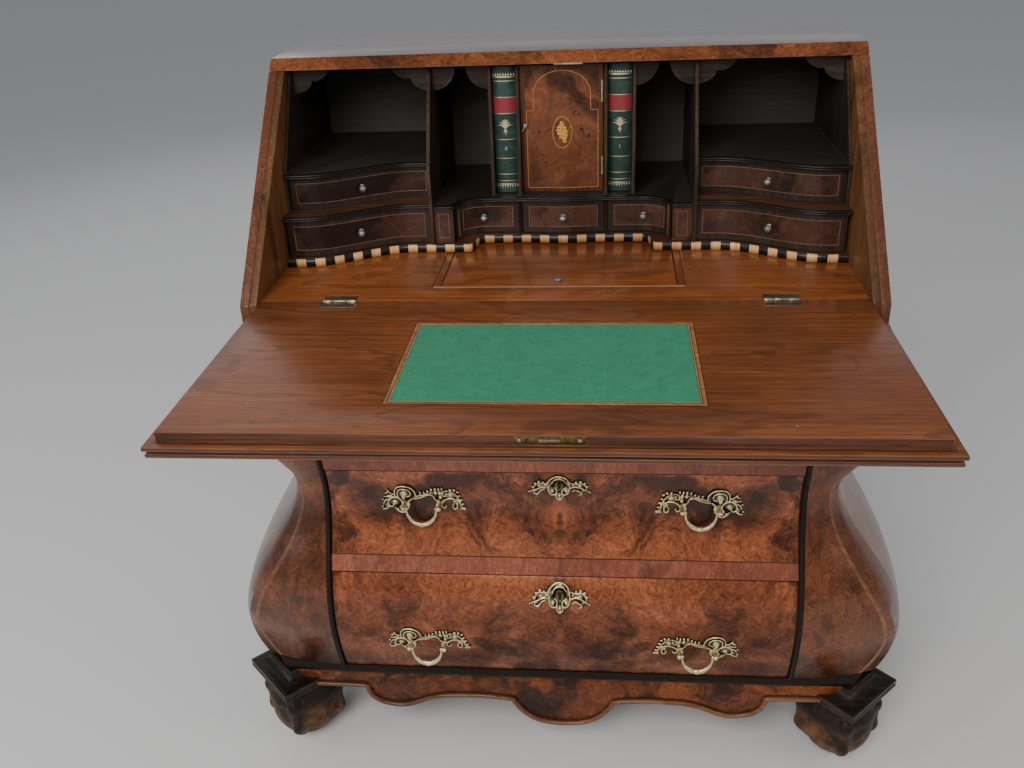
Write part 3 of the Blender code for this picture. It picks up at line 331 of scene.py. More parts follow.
# Burr wood: clouds of dark and orange with curled lines and small eyes, as the veneer of a root has
burr, burr_in, burr_out = effect(
    "burr_figure",
    {"Vector": "Vector", "Size": 1.0, **tones, "Clouds": 0.8, "Crackle": 0.75}, surface_kinds,
)
sized = vector_in("SCALE", burr_in["Vector"], burr_in["Size"])
swirl = node_in(burr, "TexNoise", {"Vector": sized, "Scale": 9.0, "Detail": 4.0, "Roughness": 0.6})
swirl = vector_in("SCALE", vector_in("SUBTRACT", swirl.outputs["Color"], (0.5, 0.5, 0.5)), 0.13)
bent = vector_in("ADD", sized, swirl)
clouds = cloud_in(bent, 8.5, 9.0, 0.66, 0.6)
curls = cloud_in(bent, 24.0, 4.0, 0.62, 1.0)
knots = cloud_in(bent, 70.0, 3.0, 0.6, 0.8)
fine = cloud_in(bent, 210.0, 4.0, 0.75, 0.5)
patches = cloud_in(sized, 3.6, 3.0, 0.5, 0.8)
lit = plus(times(curls, 0.6), times(knots, 0.4))
tone = blend_in(ramp_in(lit, 0.28, 0.78), burr_in["Middle"], burr_in["Light"])
warm = times(ramp_in(patches, 0.47, 0.62), 0.5)
tone = blend_in(warm, tone, burr_in["Light"])
shade = plus(ramp_in(clouds, 0.54, 0.36), ramp_in(patches, 0.44, 0.28))
shade = math_in("MINIMUM", times(shade, burr_in["Clouds"]), 0.92)
tone = blend_in(shade, tone, burr_in["Dark"])
for field, width, strength in ((curls, 0.02, 0.62), (knots, 0.032, 0.42)):
    line = ramp_in(math_in("ABSOLUTE", minus(field, 0.5)), width, 0.0)
    line = times(line, times(burr_in["Crackle"], strength))
    tone = blend_in(line, tone, burr_in["Dark"])
eyes = node_in(burr, "TexVoronoi", {"Vector": bent, "Scale": 105.0}).outputs["Distance"]
eyes = times(ramp_in(eyes, 0.24, 0.08), ramp_in(curls, 0.56, 0.44))
tone = blend_in(times(eyes, 0.8), tone, burr_in["Dark"])
speckle = scaled(ramp_in(fine, 0.34, 0.66), 0.9, 0.58)
tone = blend_in(burr_in["Crackle"], tone, speckle, "MULTIPLY")
feed(burr_out, Color=tone, Height=lit, Gloss=times(minus(1.0, lit), 0.16))


def wood(
    name, dark, middle, light, figure="straight_grain", scale=(1.0, 1.0, 1.0), turn=(0.0, 0.0, 0.0),
    roughness=0.27, worn=None, worn_width=0.0012, relief=0.00012, coat=0.35, shine=0.34, soil=0.0, matched=None,
    sooty=None, **settings,
):
    """A varnished wood: its figure, rubbed edges, painted shade in its hollows and towards its foot, and a thin
    coat.

    matched mirrors the figure about the middle, as two leaves laid side by side, from a given height in the log.
    settings are the figure's own inputs, in small letters.
    """
    finish, tree, shader, place_at, _ = opened(name)
    in_log = place_at
    if matched is not None:
        in_log = vector_in("ABSOLUTE", vector_in("ADD", place_at, (0.0, 3.0, matched)))
    mapped = stretch_in(in_log, scale, turn)
    made = node_in(tree, "Group", node_tree=bpy.data.node_groups[figure])
    tree.links.new(mapped, made.inputs["Vector"])
    for key, colour in (("Dark", dark), ("Middle", middle), ("Light", light)):
        made.inputs[key].default_value = (*colour, 1.0)
    for key, value in settings.items():
        made.inputs[key.capitalize()].default_value = value
    tone = made.outputs["Color"]
    dull = plus(made.outputs["Gloss"], roughness - 0.07)
    if worn:
        edge = node_in(tree, "Group", {}, node_tree=bpy.data.node_groups["rubbed_edges"])
        edge.inputs["Width"].default_value = worn_width
        tree.links.new(place_at, edge.inputs["Vector"])
        tone = blend_in(times(edge.outputs["Rubbed"], 0.75), tone, worn)
        dull = plus(dull, times(edge.outputs["Rubbed"], 0.12))
    shader.inputs["Specular IOR Level"].default_value = shine
    # Painted shade: towards the bottom the colour is darkened and its shine taken off, in place of shade there
    if sooty:
        high, low, share = sooty
        low_shade = ramp_in(node_in(tree, "SeparateXYZ", {0: place_at}).outputs["Z"], high, low)
        uneven = ramp_in(cloud_in(place_at, 12.0, 5.0, 0.6, 0.4), 0.3, 0.62)
        low_shade = times(scaled(uneven, 0.6, 0.4), times(low_shade, share))
        tone = blend_in(low_shade, tone, [c * 0.3 for c in dark])
        unshaded_shine = scaled(low_shade, -shine, shine)
        tree.links.new(unshaded_shine, shader.inputs["Specular IOR Level"])
    # Painted shade: ambient occlusion darkens the colour in hollows and creases
    if soil:
        hollow = node_in(tree, "AmbientOcclusion", {"Distance": 0.02}, samples=6, only_local=False).outputs["AO"]
        crease_darkening = times(ramp_in(hollow, 0.75, 0.25), soil)
        tone = blend_in(crease_darkening, tone, [c * 0.12 for c in dark])
    surfaced(tree, shader, tone, made.outputs["Height"], 0.6, relief)
    tree.links.new(dull, shader.inputs["Roughness"])
    shader.inputs["Coat Weight"].default_value = coat * 0.5
    shader.inputs["Coat Roughness"].default_value = 0.14
    return finish


def burr_wood(name, dark, middle, light, **settings):
    return wood(name, dark, middle, light, figure="burr_figure", **settings)


ebony = wood(
    "ebonised_wood", ebony_dark, ebony_mid, (0.014, 0.01, 0.0075), roughness=0.46,
    worn=ebony_worn, worn_width=0.0016, streaks=0.3, coat=0.0, shine=0.18,
)


def ease(share):
    return (1 - math.cos(math.pi * share)) / 2


def swell(height, base, belly, waist, top, belly_height, waist_height):
    """An S curve up the chest: out to the belly, in to the waist and out again to the shoulder."""
    if height <= belly_height:
        share = max(0.0, (height - floor_gap) / (belly_height - floor_gap))
        return base + (belly - base) * math.sin(math.pi / 2 * share)
    if height <= waist_height:
        return belly + (waist - belly) * ease((height - belly_height) / (waist_height - belly_height))
    share = min(1.0, (height - waist_height) / (shoulder_height - waist_height))
    return waist + (top - waist) * ease(share)


def front_at(height):
    return -swell(
        height, front_base, front_belly, front_waist, front_shoulder, front_belly_height, front_waist_height
    )


def edge_at(height):
    return swell(height, edge_base, edge_belly, edge_waist, edge_shoulder, edge_belly_height, edge_waist_height)


def edge_depth(height):
    """Where the corner's outer edge stands: its cant dies out from the belly towards the base."""
    rise = (height - floor_gap) / (edge_belly_height - floor_gap)
    cant = cant_base + (cant_share - cant_base) * math.sin(math.pi / 2 * min(1.0, max(0.0, rise)))
    return front_at(height) + (edge_at(height) - front_halves) * cant


def side_at(depth, height):
    start = edge_depth(height)
    share = min(1.0, max(0.0, (depth - start) / (case_depth - start)))
    middle = swell(
        height, side_base, side_belly, side_waist, edge_shoulder, side_belly_height, side_waist_height
    )
    edge = edge_at(height)
    return edge + (middle - edge) * math.sin(math.pi * share) ** side_fullness_share


def spread(low, high, steps):
    return [low + (high - low) * k / steps for k in range(steps + 1)]


def rounded_off(shape, edges, offset, steps):
    bmesh.ops.bevel(
        shape, geom=edges, offset=offset, segments=steps, profile=0.5, affect="EDGES", clamp_overlap=True
    )


def slab(name, low, high, round_off=0.0006, steps=2):
    """A board with softened arrises."""
    shape = bmesh.new()
    bmesh.ops.create_cube(shape, size=1.0)
    for vertex in shape.verts:
        vertex.co = [a + (b - a) * (c + 0.5) for a, b, c in zip(low, high, vertex.co)]
    rounded_off(shape, shape.edges[:], round_off, steps)
    return closed(name, shape, 40)


def united(name, meshes, degrees=35.0):
    """One mesh from several, each still its own shell."""
    shape = bmesh.new()
    for mesh in meshes:
        shape.from_mesh(mesh)
        bpy.data.meshes.remove(mesh)
    return smoothed(name, shape, degrees)


def mirrored(mesh):
    copy = mesh.copy()
    copy.transform(Matrix.Scale(-1, 4, (1, 0, 0)))
    copy.flip_normals()
    return copy


def pair(stem, mesh, finish, slot, node=None):
    """A mesh and its mirror image on the case, in the place of the right and left node of a stem."""
    for word, one in (("left", mirrored(mesh)), ("right", mesh)):
        place(f"{stem}_{word}", one, finish, "case", slot, *([f"{node}_{word}"] if node else []))


side_depths = spread(stile_back, case_depth, 20)
moulding_profile = (
    (0.0, 0.0005), (0.0008, 0.0042), (0.003, 0.0058), (0.0065, 0.0062), (0.01, 0.0054), (0.0128, 0.0036),
    (0.014, 0.003), (0.0142, 0.002), (0.0178, 0.0016), (0.018, 0.0006),
)


def base_ring(height, proud):
    half = [(front_halves, front_at(height) - proud), (edge_at(height) + proud / 2, edge_depth(height) - proud)]
    half += [(side_at(y, height) + proud / 2, y) for y in side_depths]
    return [(x, y, height) for x, y in half + [(-x, y) for x, y in reversed(half)]]


base_mesh = lofted("base_moulding", [base_ring(floor_gap + rise, proud) for rise, proud in moulding_profile], 50)
guide_near, guide_far, guide_front, guide_rise = 0.34, 0.356, 0.045, 0.03
back_inner, sunk_in_base = 0.444, 0.002


def guide_bars(outer, low, high):
    """The two bars that a drawer slides between, each out to a half width."""
    bars = []
    for side in (-1, 1):
        near, far = sorted((side * guide_near, side * outer))
        bars.append(slab("guide", (near, guide_front, low), (far, back_inner - 0.001, high)))
    return bars


base_parts = [base_mesh] + guide_bars(guide_far, base_high - sunk_in_base, base_high + guide_rise)
place("base_moulding", united("base_moulding", base_parts, 50), ebony, "case", "ebonised", "base_board")

# The front and back feet: a bird's claw grips a ball under a moulded block that is set cornerwise. Carved from
# solid wood, stained black, and rubbed down to a warm brown on the ball and the knuckles.
foot_x, front_foot_y, back_foot_y = 0.438, -0.012, 0.3716
ball_radius, ball_middle = 0.056, 0.064
block_profile = (
    (0.128, 0.114), (0.129, 0.118), (0.1318, 0.119), (0.1332, 0.118), (0.134, 0.115), (0.1352, 0.115),
    (0.1362, 0.118), (0.1402, 0.119), (0.142, 0.1182), (0.1427, 0.115), (0.1428, 0.101), (0.1432, 0.094),
    (0.1442, 0.087), (0.146, 0.079), (0.1486, 0.0725), (0.152, 0.0684), (0.1556, 0.0664), (0.1597, 0.066),
)
claw_angles = (0.0, 90.0, 180.0, 270.0)
web_in, web_reach, web_radius = 0.88, 0.014, 0.009
toe_path = (
    (0.02, 0.016, 0.0125), (0.15, 0.015, 0.0125), (0.26, 0.0115, 0.011), (0.34, 0.013, 0.013),
    (0.43, 0.0085, 0.0088), (0.52, 0.008, 0.008), (0.59, 0.0095, 0.0098), (0.67, 0.006, 0.0072),
    (0.76, 0.0035, 0.0058), (0.85, 0.0012, 0.0045), (0.92, 0.0, 0.003),
)
skin = ((ball_middle, 0.036), (0.0835, 0.053), (0.0865, 0.0572), (0.094, 0.0575), (0.108, 0.052), (0.118, 0.049))


def blob(shape, centre, radii, segments, rings):
    made = bmesh.ops.create_uvsphere(shape, u_segments=segments, v_segments=rings, radius=1.0)
    bmesh.ops.scale(shape, vec=radii, verts=made["verts"])
    bmesh.ops.translate(shape, vec=centre, verts=made["verts"])


def strand(shape, points, sides):
    """A round strand of changing thickness through points (x, y, z, radius), closed at both ends."""
    places = [Vector(p[:3]) for p in points]
    rings = []
    lean = None
    for k, (spot, point) in enumerate(zip(places, points)):
        ahead_of = places[min(k + 1, len(places) - 1)] - places[max(k - 1, 0)]
        ahead_of.normalize()
        lean = ahead_of.orthogonal() if lean is None else lean - lean.dot(ahead_of) * ahead_of
        lean.normalize()
        other = ahead_of.cross(lean)
        rings.append([
            spot + point[3] * (math.cos(2 * math.pi * j / sides) * lean + math.sin(2 * math.pi * j / sides) * other)
            for j in range(sides)
        ])
    loft(shape, rings)


def bridged(points, steps):
    """More points along a smooth curve through the given ones; each may carry a radius as its fourth value."""
    full = [points[0]] + list(points) + [points[-1]]
    smooth = []
    for a, b, c, d in zip(full, full[1:], full[2:], full[3:]):
        for k in range(steps):
            t = k / steps
            smooth.append(tuple(
                0.5 * (2 * q + (r - p) * t + (2 * p - 5 * q + 4 * r - s) * t * t + (3 * q - p - 3 * r + s) * t ** 3)
                for p, q, r, s in zip(a, b, c, d)
            ))
    return smooth + [tuple(points[-1])]


def carved(shape, name, voxel, smoothing):
    """One carved or cast surface from many overlapping shapes, remeshed and softened."""
    raw = bpy.data.meshes.new(name)
    bmesh.ops.recalc_face_normals(shape, faces=shape.faces)
    shape.to_mesh(raw)
    shape.free()
    work = bpy.data.objects.new(name, raw)
    bpy.context.scene.collection.objects.link(work)
    remesh = work.modifiers.new("remesh", "REMESH")
    remesh.mode, remesh.voxel_size = "VOXEL", voxel
    soften = work.modifiers.new("soften", "SMOOTH")
    soften.factor, soften.iterations = 0.5, smoothing
    graph = bpy.context.evaluated_depsgraph_get()
    mesh = bpy.data.meshes.new_from_object(work.evaluated_get(graph))
    bpy.data.objects.remove(work)
    bpy.data.meshes.remove(raw)
    mesh.name = name
    mesh.shade_smooth()
    return mesh


def claw_foot(name):
    """The carved foot round its own axis, standing on the floor."""
    shape = bmesh.new()
    blob(shape, (0, 0, ball_middle), (ball_radius, ball_radius, ball_middle - 0.0015), 32, 24)
    shape_top = 0.131
    strand(shape, [(0, 0, z, r) for z, r in skin] + [(0, 0, shape_top, 0.051)], 28)
    for degrees in claw_angles:
        turn = math.radians(degrees)
        across_toe = Vector((-math.sin(turn), math.cos(turn), 0))
        path = []
        for share, stand, radius in toe_path:
            swing = math.pi * share
            reach = (ball_radius - 0.006) * math.sin(swing) + stand * (0.85 if share > 0.1 else 1.0)
            path.append((
                reach * math.cos(turn), reach * math.sin(turn),
                max(ball_middle + (ball_middle - 0.004) * math.cos(swing), radius * 0.9), radius,
            ))
        strand(shape, bridged(path, 4), 12)
        for side in (-1, 1):
            web = [
                (*(p[a] * web_in + side * across_toe[a] * web_reach * k for a in (0, 1)), p[2], web_radius)
                for k, p in ((1.0, path[2]), (1.0, path[3]), (0.55, path[4]), (0.2, path[5]))
            ]
            strand(shape, bridged(web, 3), 8)
    mesh = carved(shape, name, 0.0021, 3)
    shape = bmesh.new()
    shape.from_mesh(mesh)
    for vertex in shape.verts:
        vertex.co.z = max(vertex.co.z, 0.0)
        rough = noise.noise(vertex.co * 46.0) * 0.0011 + noise.noise(vertex.co * 130.0) * 0.0004
        if vertex.co.z > 0.003:
            vertex.co += vertex.co.normalized() * rough
    block = bmesh.new()
    rings = []
    for z, side in block_profile:
        r = side / math.sqrt(2)
        rings.append([(r, 0, z), (0, r, z), (-r, 0, z), (0, -r, z)])
    loft(block, rings)
    corners = [e for e in block.edges if abs(e.verts[0].co.z - e.verts[1].co.z) > 1e-6]
    rounded_off(block, corners, 0.0012, 2)
    block_mesh = closed("block", block, 30)
    shape.to_mesh(mesh)
    shape.free()
    mesh.shade_smooth()
    return united(name, [mesh, block_mesh], 42)


foot_wood = wood(
    "claw_foot_wood", (0.008, 0.006, 0.005), (0.018, 0.011, 0.008), (0.04, 0.02, 0.011),
    scale=(0.9, 0.9, 0.25), roughness=0.5, worn=(0.15, 0.066, 0.025), worn_width=0.005,
    streaks=0.8, lines=60.0, relief=0.0004, coat=0.04, shine=0.2,
)
block_black = wood(
    "foot_block_black", (0.004, 0.0034, 0.003), (0.016, 0.0105, 0.0078), (0.038, 0.024, 0.016),
    roughness=0.36, worn=(0.23, 0.165, 0.12), worn_width=0.0015, coat=0.2, lines=30.0, shine=0.25,
)
_, tree, shader, spot, stained = opened(foot_wood)
low_down = ramp_in(node_in(tree, "SeparateXYZ", {0: spot}).outputs["Z"], 0.096, 0.06)
patchy = ramp_in(cloud_in(spot, 17.0, 5.0, 0.6, 0.6), 0.36, 0.6)
golden = blend_in(ramp_in(cloud_in(spot, 60.0, 5.0), 0.35, 0.65), (0.062, 0.027, 0.01), (0.21, 0.09, 0.028))
stained = blend_in(times(times(low_down, patchy), 0.85), stained, golden)
surfaced(tree, shader, stained)

def sorted_faces(mesh, choose):
    """Gives each face the finish that its middle and its direction ask for."""
    for face in mesh.polygons:
        face.material_index = choose(face.center, face.normal)


foot_mesh = claw_foot("claw_foot")
both_sides = ((-1, "left"), (1, "right"))
for stem, y in (("front_foot", front_foot_y), ("back_foot", back_foot_y)):
    for side, word in both_sides:
        mesh = foot_mesh.copy()
        mesh.transform(Matrix.Translation((side * foot_x, y, 0.0)))
        place(f"carved_{stem}_{word}", mesh, [foot_wood, block_black], "case", "ebonised", f"{stem}_{word}")
        sorted_faces(mesh, lambda middle, normal: int(middle.z > block_profile[0][0] - 0.0005))
bpy.data.meshes.remove(foot_mesh)

# The bombe sides: thick boards shaped outside and veneered with burr walnut in leaves that run up the curve
side_thickness = 0.024
shell_low, shell_high = base_high + 0.0003, shoulder_height - 0.0003
burr_dark, burr_mid, burr_light = (0.03, 0.011, 0.006), (0.145, 0.043, 0.017), (0.3, 0.098, 0.032)


def side_ring(height):
    outer = [(side_at(y, height), y) for y in [stile_back + 0.0003] + side_depths[1:-1] + [back_inner - 0.0003]]
    inner = [(x - side_thickness, y) for x, y in reversed(outer)]
    return [(x, y, height) for x, y in outer + inner]


side_mesh = lofted("bombe_side", [side_ring(z) for z in spread(shell_low, shell_high, 44)], 40)
# The burr is darkened towards the bottom as painted shade
side_veneer = burr_wood(
    "side_burr_veneer", burr_dark, (0.15, 0.048, 0.018), (0.33, 0.125, 0.042),
    scale=(0.8, 0.9, 0.55), turn=(0.3, 0.0, 0.2), roughness=0.24, clouds=0.95, coat=0.5,
    sooty=(0.25, 0.165, 0.75), shine=0.28,
)
pair("bombe_side", side_mesh, side_veneer, "burr_walnut", "side_panel")

# The canted corner stiles between the drawers and the sides, veneered, with a strip of straight wood along
# their outer edge; a black bead runs down their inner edge
bead_radius = 0.0042
bead_x = front_halves + bead_radius


def stile_ring(height):
    y = front_at(height)
    seat = bead_radius + 0.0003
    edge = Vector((edge_at(height), edge_depth(height)))
    start = Vector((bead_x + seat, y))
    bow = 0.0035
    face = []
    for share in (0.0, 0.12, 0.3, 0.5, 0.7, 0.88, 0.97):
        point = start.lerp(edge, share)
        face.append((point.x, point.y - bow * math.sin(math.pi * share)))
    outline = [(front_halves, y + seat + 0.0003), (bead_x + seat, y + seat + 0.0003)] + face
    outline += [(edge.x - 0.0006, edge.y - 0.0003), (edge.x, edge.y + 0.0012)]
    outline += [(side_at(d, height), d) for d in (edge.y + 0.008, (edge.y + stile_back) / 2 + 0.004, stile_back)]
    outline.append((front_halves, stile_back))
    return [(x, d, height) for x, d in outline]


stile_mesh = lofted("stile", [stile_ring(z) for z in spread(shell_low, shell_high, 60)], 40)
# The burr is darkened towards the bottom as painted shade
stile_veneer = burr_wood(
    "stile_burr_veneer", (0.022, 0.009, 0.006), (0.11, 0.034, 0.014), (0.215, 0.066, 0.023),
    scale=(1.0, 1.0, 0.8), turn=(0.1, 0.4, 0.0), roughness=0.25, clouds=0.7, size=1.1, coat=0.45,
    sooty=(0.25, 0.165, 0.9), shine=0.28,
)
pair("canted_stile", stile_mesh, stile_veneer, "burr_walnut", "corner_stile")

strip_wood = wood(
    "edge_strip_wood", (0.07, 0.024, 0.01), (0.2, 0.07, 0.024), (0.34, 0.125, 0.042),
    scale=(1.0, 1.0, 0.3), roughness=0.3, worn=(0.5, 0.23, 0.09), worn_width=0.001, coat=0.3,
    lines=20.0,
)


def strip_ring(height):
    edge = Vector((edge_at(height), edge_depth(height)))
    start = Vector((bead_x, front_at(height)))
    inward = (start - edge).normalized()
    outward = Vector((-inward.y, inward.x))
    if outward.y > 0:
        outward = -outward
    width, proud = 0.0058, 0.0008
    points = [
        edge + inward * width + outward * 0.0002, edge + inward * (width - 0.0006) + outward * proud,
        edge + inward * 0.001 + outward * proud, edge + Vector((0.0007, 0.0002)),
        edge + Vector((0.0007, 0.003)), edge + Vector((-0.002, 0.004)),
    ]
    return [(p.x, p.y, height) for p in points]


strip_mesh = lofted("strip", [strip_ring(z) for z in spread(shell_low + 0.001, shell_high - 0.001, 60)])
pair("stile_edge_strip", strip_mesh, strip_wood, "burr_walnut")


def drawn(name, points, sides, degrees):
    """One round strand as a closed mesh."""
    shape = bmesh.new()
    strand(shape, points, sides)
    return closed(name, shape, degrees)


bead_heights = spread(base_high + 0.001, shell_high - 0.002, 60)
bead_mesh = drawn("bead", [(bead_x, front_at(z), z, bead_radius - 0.0004) for z in bead_heights], 16, 60)
pair("drawer_side_bead", bead_mesh, ebony, "ebonised", "stile_bead")

# The back is three plain boards of secondary wood, nailed on; it shows only from behind
oak_dark, oak_mid, oak_light = (0.045, 0.024, 0.012), (0.135, 0.075, 0.036), (0.22, 0.13, 0.068)
top_height, top_thickness = 1.061, 0.016
carcass_wood = wood(
    "carcass_oak", oak_dark, oak_mid, oak_light, scale=(0.8, 1.0, 1.0), roughness=0.62,
    relief=0.0004, coat=0.0, lines=26.0, wander=1.2, streaks=0.5,
)
back_heights = spread(shell_low, shell_high, 44)
joints_at = (0.0, 0.33, 0.67, 1.0)
back_boards = []
back_top = top_height - top_thickness - 0.0003
for low_share, high_share in zip(joints_at, joints_at[1:]):
    low = base_high + (back_top - base_high) * low_share
    high = base_high + (back_top - base_high) * high_share
    zs = [low] + [z for z in back_heights if low + 0.002 < z < high - 0.002] + [high - 0.0008]
    if high > shoulder_height > low:
        zs = sorted(zs + [shoulder_height + 0.0002])
    rings = []
    for z in zs:
        half = edge_at(z) if z < shoulder_height else edge_shoulder
        rings.append([(-half, back_inner, z), (half, back_inner, z), (half, case_depth, z), (-half, case_depth, z)])
    back_boards.append(lofted("back_board", rings, 30))
stained_oak = wood(
    "stained_back_oak", (0.03, 0.027, 0.022), (0.052, 0.046, 0.038), (0.075, 0.066, 0.054),
    roughness=0.6, coat=0.0, lines=12.0,
)
back_mesh = united("back_boards", back_boards, 30)
place("back_boards", back_mesh, [carcass_wood, stained_oak], "case", "carcass_wood", "case_back")
sorted_faces(back_mesh, lambda middle, normal: int(normal.y < -0.9 and middle.z > 0.7))

# The rails between and above the long drawers: dust boards of secondary wood whose front edges are banded
# with cross-grained veneer in short lengths, each a little different in tone
rail_half, rail_depth, dust_board, sunk_in_rail = 0.3437, 0.075, 0.01, 0.005
rails = {
    "drawer_divider": (0.366, 0.389, True),
    "upper_rail": (0.525, 0.5517, False),
}


def prism(name, outline, low, high, across="x", round_off=0.0, degrees=35.0):
    """An outline in two axes, cut from a board that runs from low to high along the third."""
    put = {
        "x": lambda a, b, c: (c, a, b),
        "y": lambda a, b, c: (a, c, b),
        "z": lambda a, b, c: (a, b, c),
    }[across]
    shape = bmesh.new()
    loft(shape, [[put(a, b, level) for a, b in outline] for level in (low, high)])
    bmesh.ops.recalc_face_normals(shape, faces=shape.faces)
    if round_off:
        sharp = [e for e in shape.edges if e.calc_face_angle(0.0) > math.radians(30)]
        rounded_off(shape, sharp, round_off, 2)
    return closed(name, shape, degrees)


upright = (0.0, math.pi / 2, 0.0)
crossband = wood(
    "cross_banding", (0.1, 0.026, 0.016), (0.3, 0.084, 0.044), (0.43, 0.145, 0.078),
    turn=upright, roughness=0.26,
    lines=24.0, wander=1.1, drift=0.75, coat=0.4,
)
for name, (low, high, guided) in rails.items():
    front = [(front_at(z) + 0.0013, z) for z in spread(low, high, 10)]
    outline = front + [(front_at(high) + rail_depth, high), (front_at(low) + rail_depth, low)]
    dust_low, dust_high = (-rail_half, stile_back / 2, high - dust_board), (rail_half, back_inner - 0.001, high)
    made = [prism("rail", outline, -rail_half, rail_half), slab("dust", dust_low, dust_high)]
    if guided:
        made += guide_bars(rail_half, high - sunk_in_rail, high + guide_rise)
    place(name + "_board", united(name, made), carcass_wood, "case", "carcass_wood", name)
    banding = [(front_at(z) - 0.0001, z) for z in spread(low + 0.0002, high - 0.0002, 10)]
    banding += [(y + 0.0015, z) for y, z in reversed(banding)]
    place(name + "_banding", prism("banding", banding, -rail_half, rail_half), crossband, "case", "burr_walnut")

# The apron under the base: a board sawn to a double ogee between two cusps, veneered with burr, with a worn
# rounded lip along its whole lower edge
apron_front, apron_back, apron_half, apron_top, apron_drop = -0.05, -0.03, 0.352, 0.1597, 0.098
apron_runs_shares = (
    ((0.0, 1.0), (0.09, 0.965), (0.155, 0.85), (0.205, 0.65), (0.228, 0.515)),
    ((0.236, 0.5), (0.34, 0.462), (0.45, 0.458), (0.56, 0.49), (0.63, 0.57), (0.7, 0.68), (0.76, 0.71),
     (0.83, 0.66), (0.875, 0.55), (0.893, 0.42)),
    ((0.9, 0.315), (0.95, 0.31), (1.0, 0.305)),
)
apron_end, apron_end_share = 0.428, 0.3
half_path = []
for run in apron_runs_shares:
    half_path += [(apron_half * x, apron_top - apron_drop * d) for x, d in bridged(run, 5)]
half_path.append((apron_end, apron_top - apron_drop * apron_end_share))
apron_path = [(-x, z) for x, z in reversed(half_path)] + half_path[1:]
apron_outline = apron_path + [(apron_end, apron_top), (-apron_end, apron_top)]
apron_veneer = burr_wood(
    "apron_burr_veneer", (0.012, 0.005, 0.003), (0.095, 0.024, 0.007), (0.27, 0.074, 0.017), clouds=0.9, size=1.2,
    coat=0.15, shine=0.2,
)
board_mesh = prism("apron_board", apron_outline, apron_front, apron_back, "y", 0.0006)
place("apron_board", board_mesh, apron_veneer, "case", "burr_walnut", "apron")
lip_wood = wood(
    "worn_lip_wood", (0.05, 0.02, 0.01), (0.155, 0.062, 0.026), (0.27, 0.12, 0.052),
    roughness=0.33, worn=(0.42, 0.22, 0.11), worn_width=0.002, coat=0.25, lines=30.0,
)
lip_radius, lip_rise, lip_forward = 0.004, 0.0022, -0.001
lip_points = [(x, apron_front + lip_forward, z + lip_rise, lip_radius) for x, z in apron_path]
place("apron_lip", drawn("apron_lip", lip_points, 12, 50), lip_wood, "case", "burr_walnut")
fillet_radius, fillet_rise = 0.0011, 0.0082
fillet_points = [(x, apron_front - 0.0001, z + fillet_rise, fillet_radius) for x, z in apron_path]
place("apron_fillet", drawn("apron_fillet", fillet_points, 8, 50), ebony, "case", "ebonised")

# The upper case: slant ends with a flat veneered edge where the fall's lip shuts, burr outside and straight
# walnut inside, with a rail glued on low down for the loper to run on
half_width, inner_half, writing_height = 0.43, 0.4075, 0.78
slant_angle = math.radians(45.3518)
rebate, fit_gap, fall_thickness = 0.0125, 0.0003, 0.026
under_top = top_height - top_thickness


def slant_edge(height):
    return (height - writing_height) / math.tan(slant_angle) - (rebate - fit_gap) / math.sin(slant_angle)


end_front = -0.03
ledge = writing_height - fall_thickness - fit_gap * 3
end_outline = [
    (end_front, shoulder_height), (end_front, ledge), (slant_edge(writing_height), ledge),
    (slant_edge(writing_height), writing_height), (slant_edge(under_top - fit_gap), under_top - fit_gap),
    (back_inner - fit_gap, under_top - fit_gap), (back_inner - fit_gap, shoulder_height),
]
inner_walnut = wood(
    "inner_walnut", (0.045, 0.018, 0.008), (0.15, 0.062, 0.022), (0.245, 0.108, 0.04),
    turn=upright, roughness=0.36, coat=0.2,
    lines=18.0, streaks=0.75, drift=0.6,
)
end_veneer = burr_wood(
    "slant_end_veneer", (0.035, 0.013, 0.007), (0.135, 0.042, 0.017), (0.27, 0.095, 0.034),
    roughness=0.25, clouds=0.8, size=0.9, coat=0.5, worn=(0.33, 0.13, 0.05), worn_width=0.0014,
)
edge_veneer = wood(
    "slant_edge_veneer", (0.05, 0.017, 0.009), (0.16, 0.052, 0.024), (0.25, 0.095, 0.044),
    turn=upright, roughness=0.28, lines=14.0,
    worn=(0.42, 0.19, 0.08), worn_width=0.0014,
)


runner = slab("runner", (0.3809, end_front + 0.024, 0.6791), (inner_half + 0.001, 0.09, 0.6931))
edge_split, edge_step = 0.4178, 0.003
inner_outline = [(y + edge_step * (k in (3, 4)), z) for k, (y, z) in enumerate(end_outline)]
end_mesh = united("slant_end", [
    prism("end_face", end_outline, edge_split, half_width, "x", 0.001),
    prism("end_lining", inner_outline, inner_half, edge_split + fit_gap, "x", 0.0006), runner,
])
finishes = [end_veneer, inner_walnut, edge_veneer]


def end_choice(middle, normal):
    if normal.x < -0.8 or middle.x < edge_split - 0.0006:
        return 1
    return 0 if normal.x > 0.8 else 2


for side, word, mesh in ((1, "right", end_mesh), (-1, "left", mirrored(end_mesh))):
    place(f"veneered_end_{word}", mesh, finishes, "case", "walnut", f"slant_end_{word}")
    sorted_faces(mesh, lambda m, n: end_choice(Vector((side * m.x, m.y, m.z)), Vector((side * n.x, n.y, n.z))))

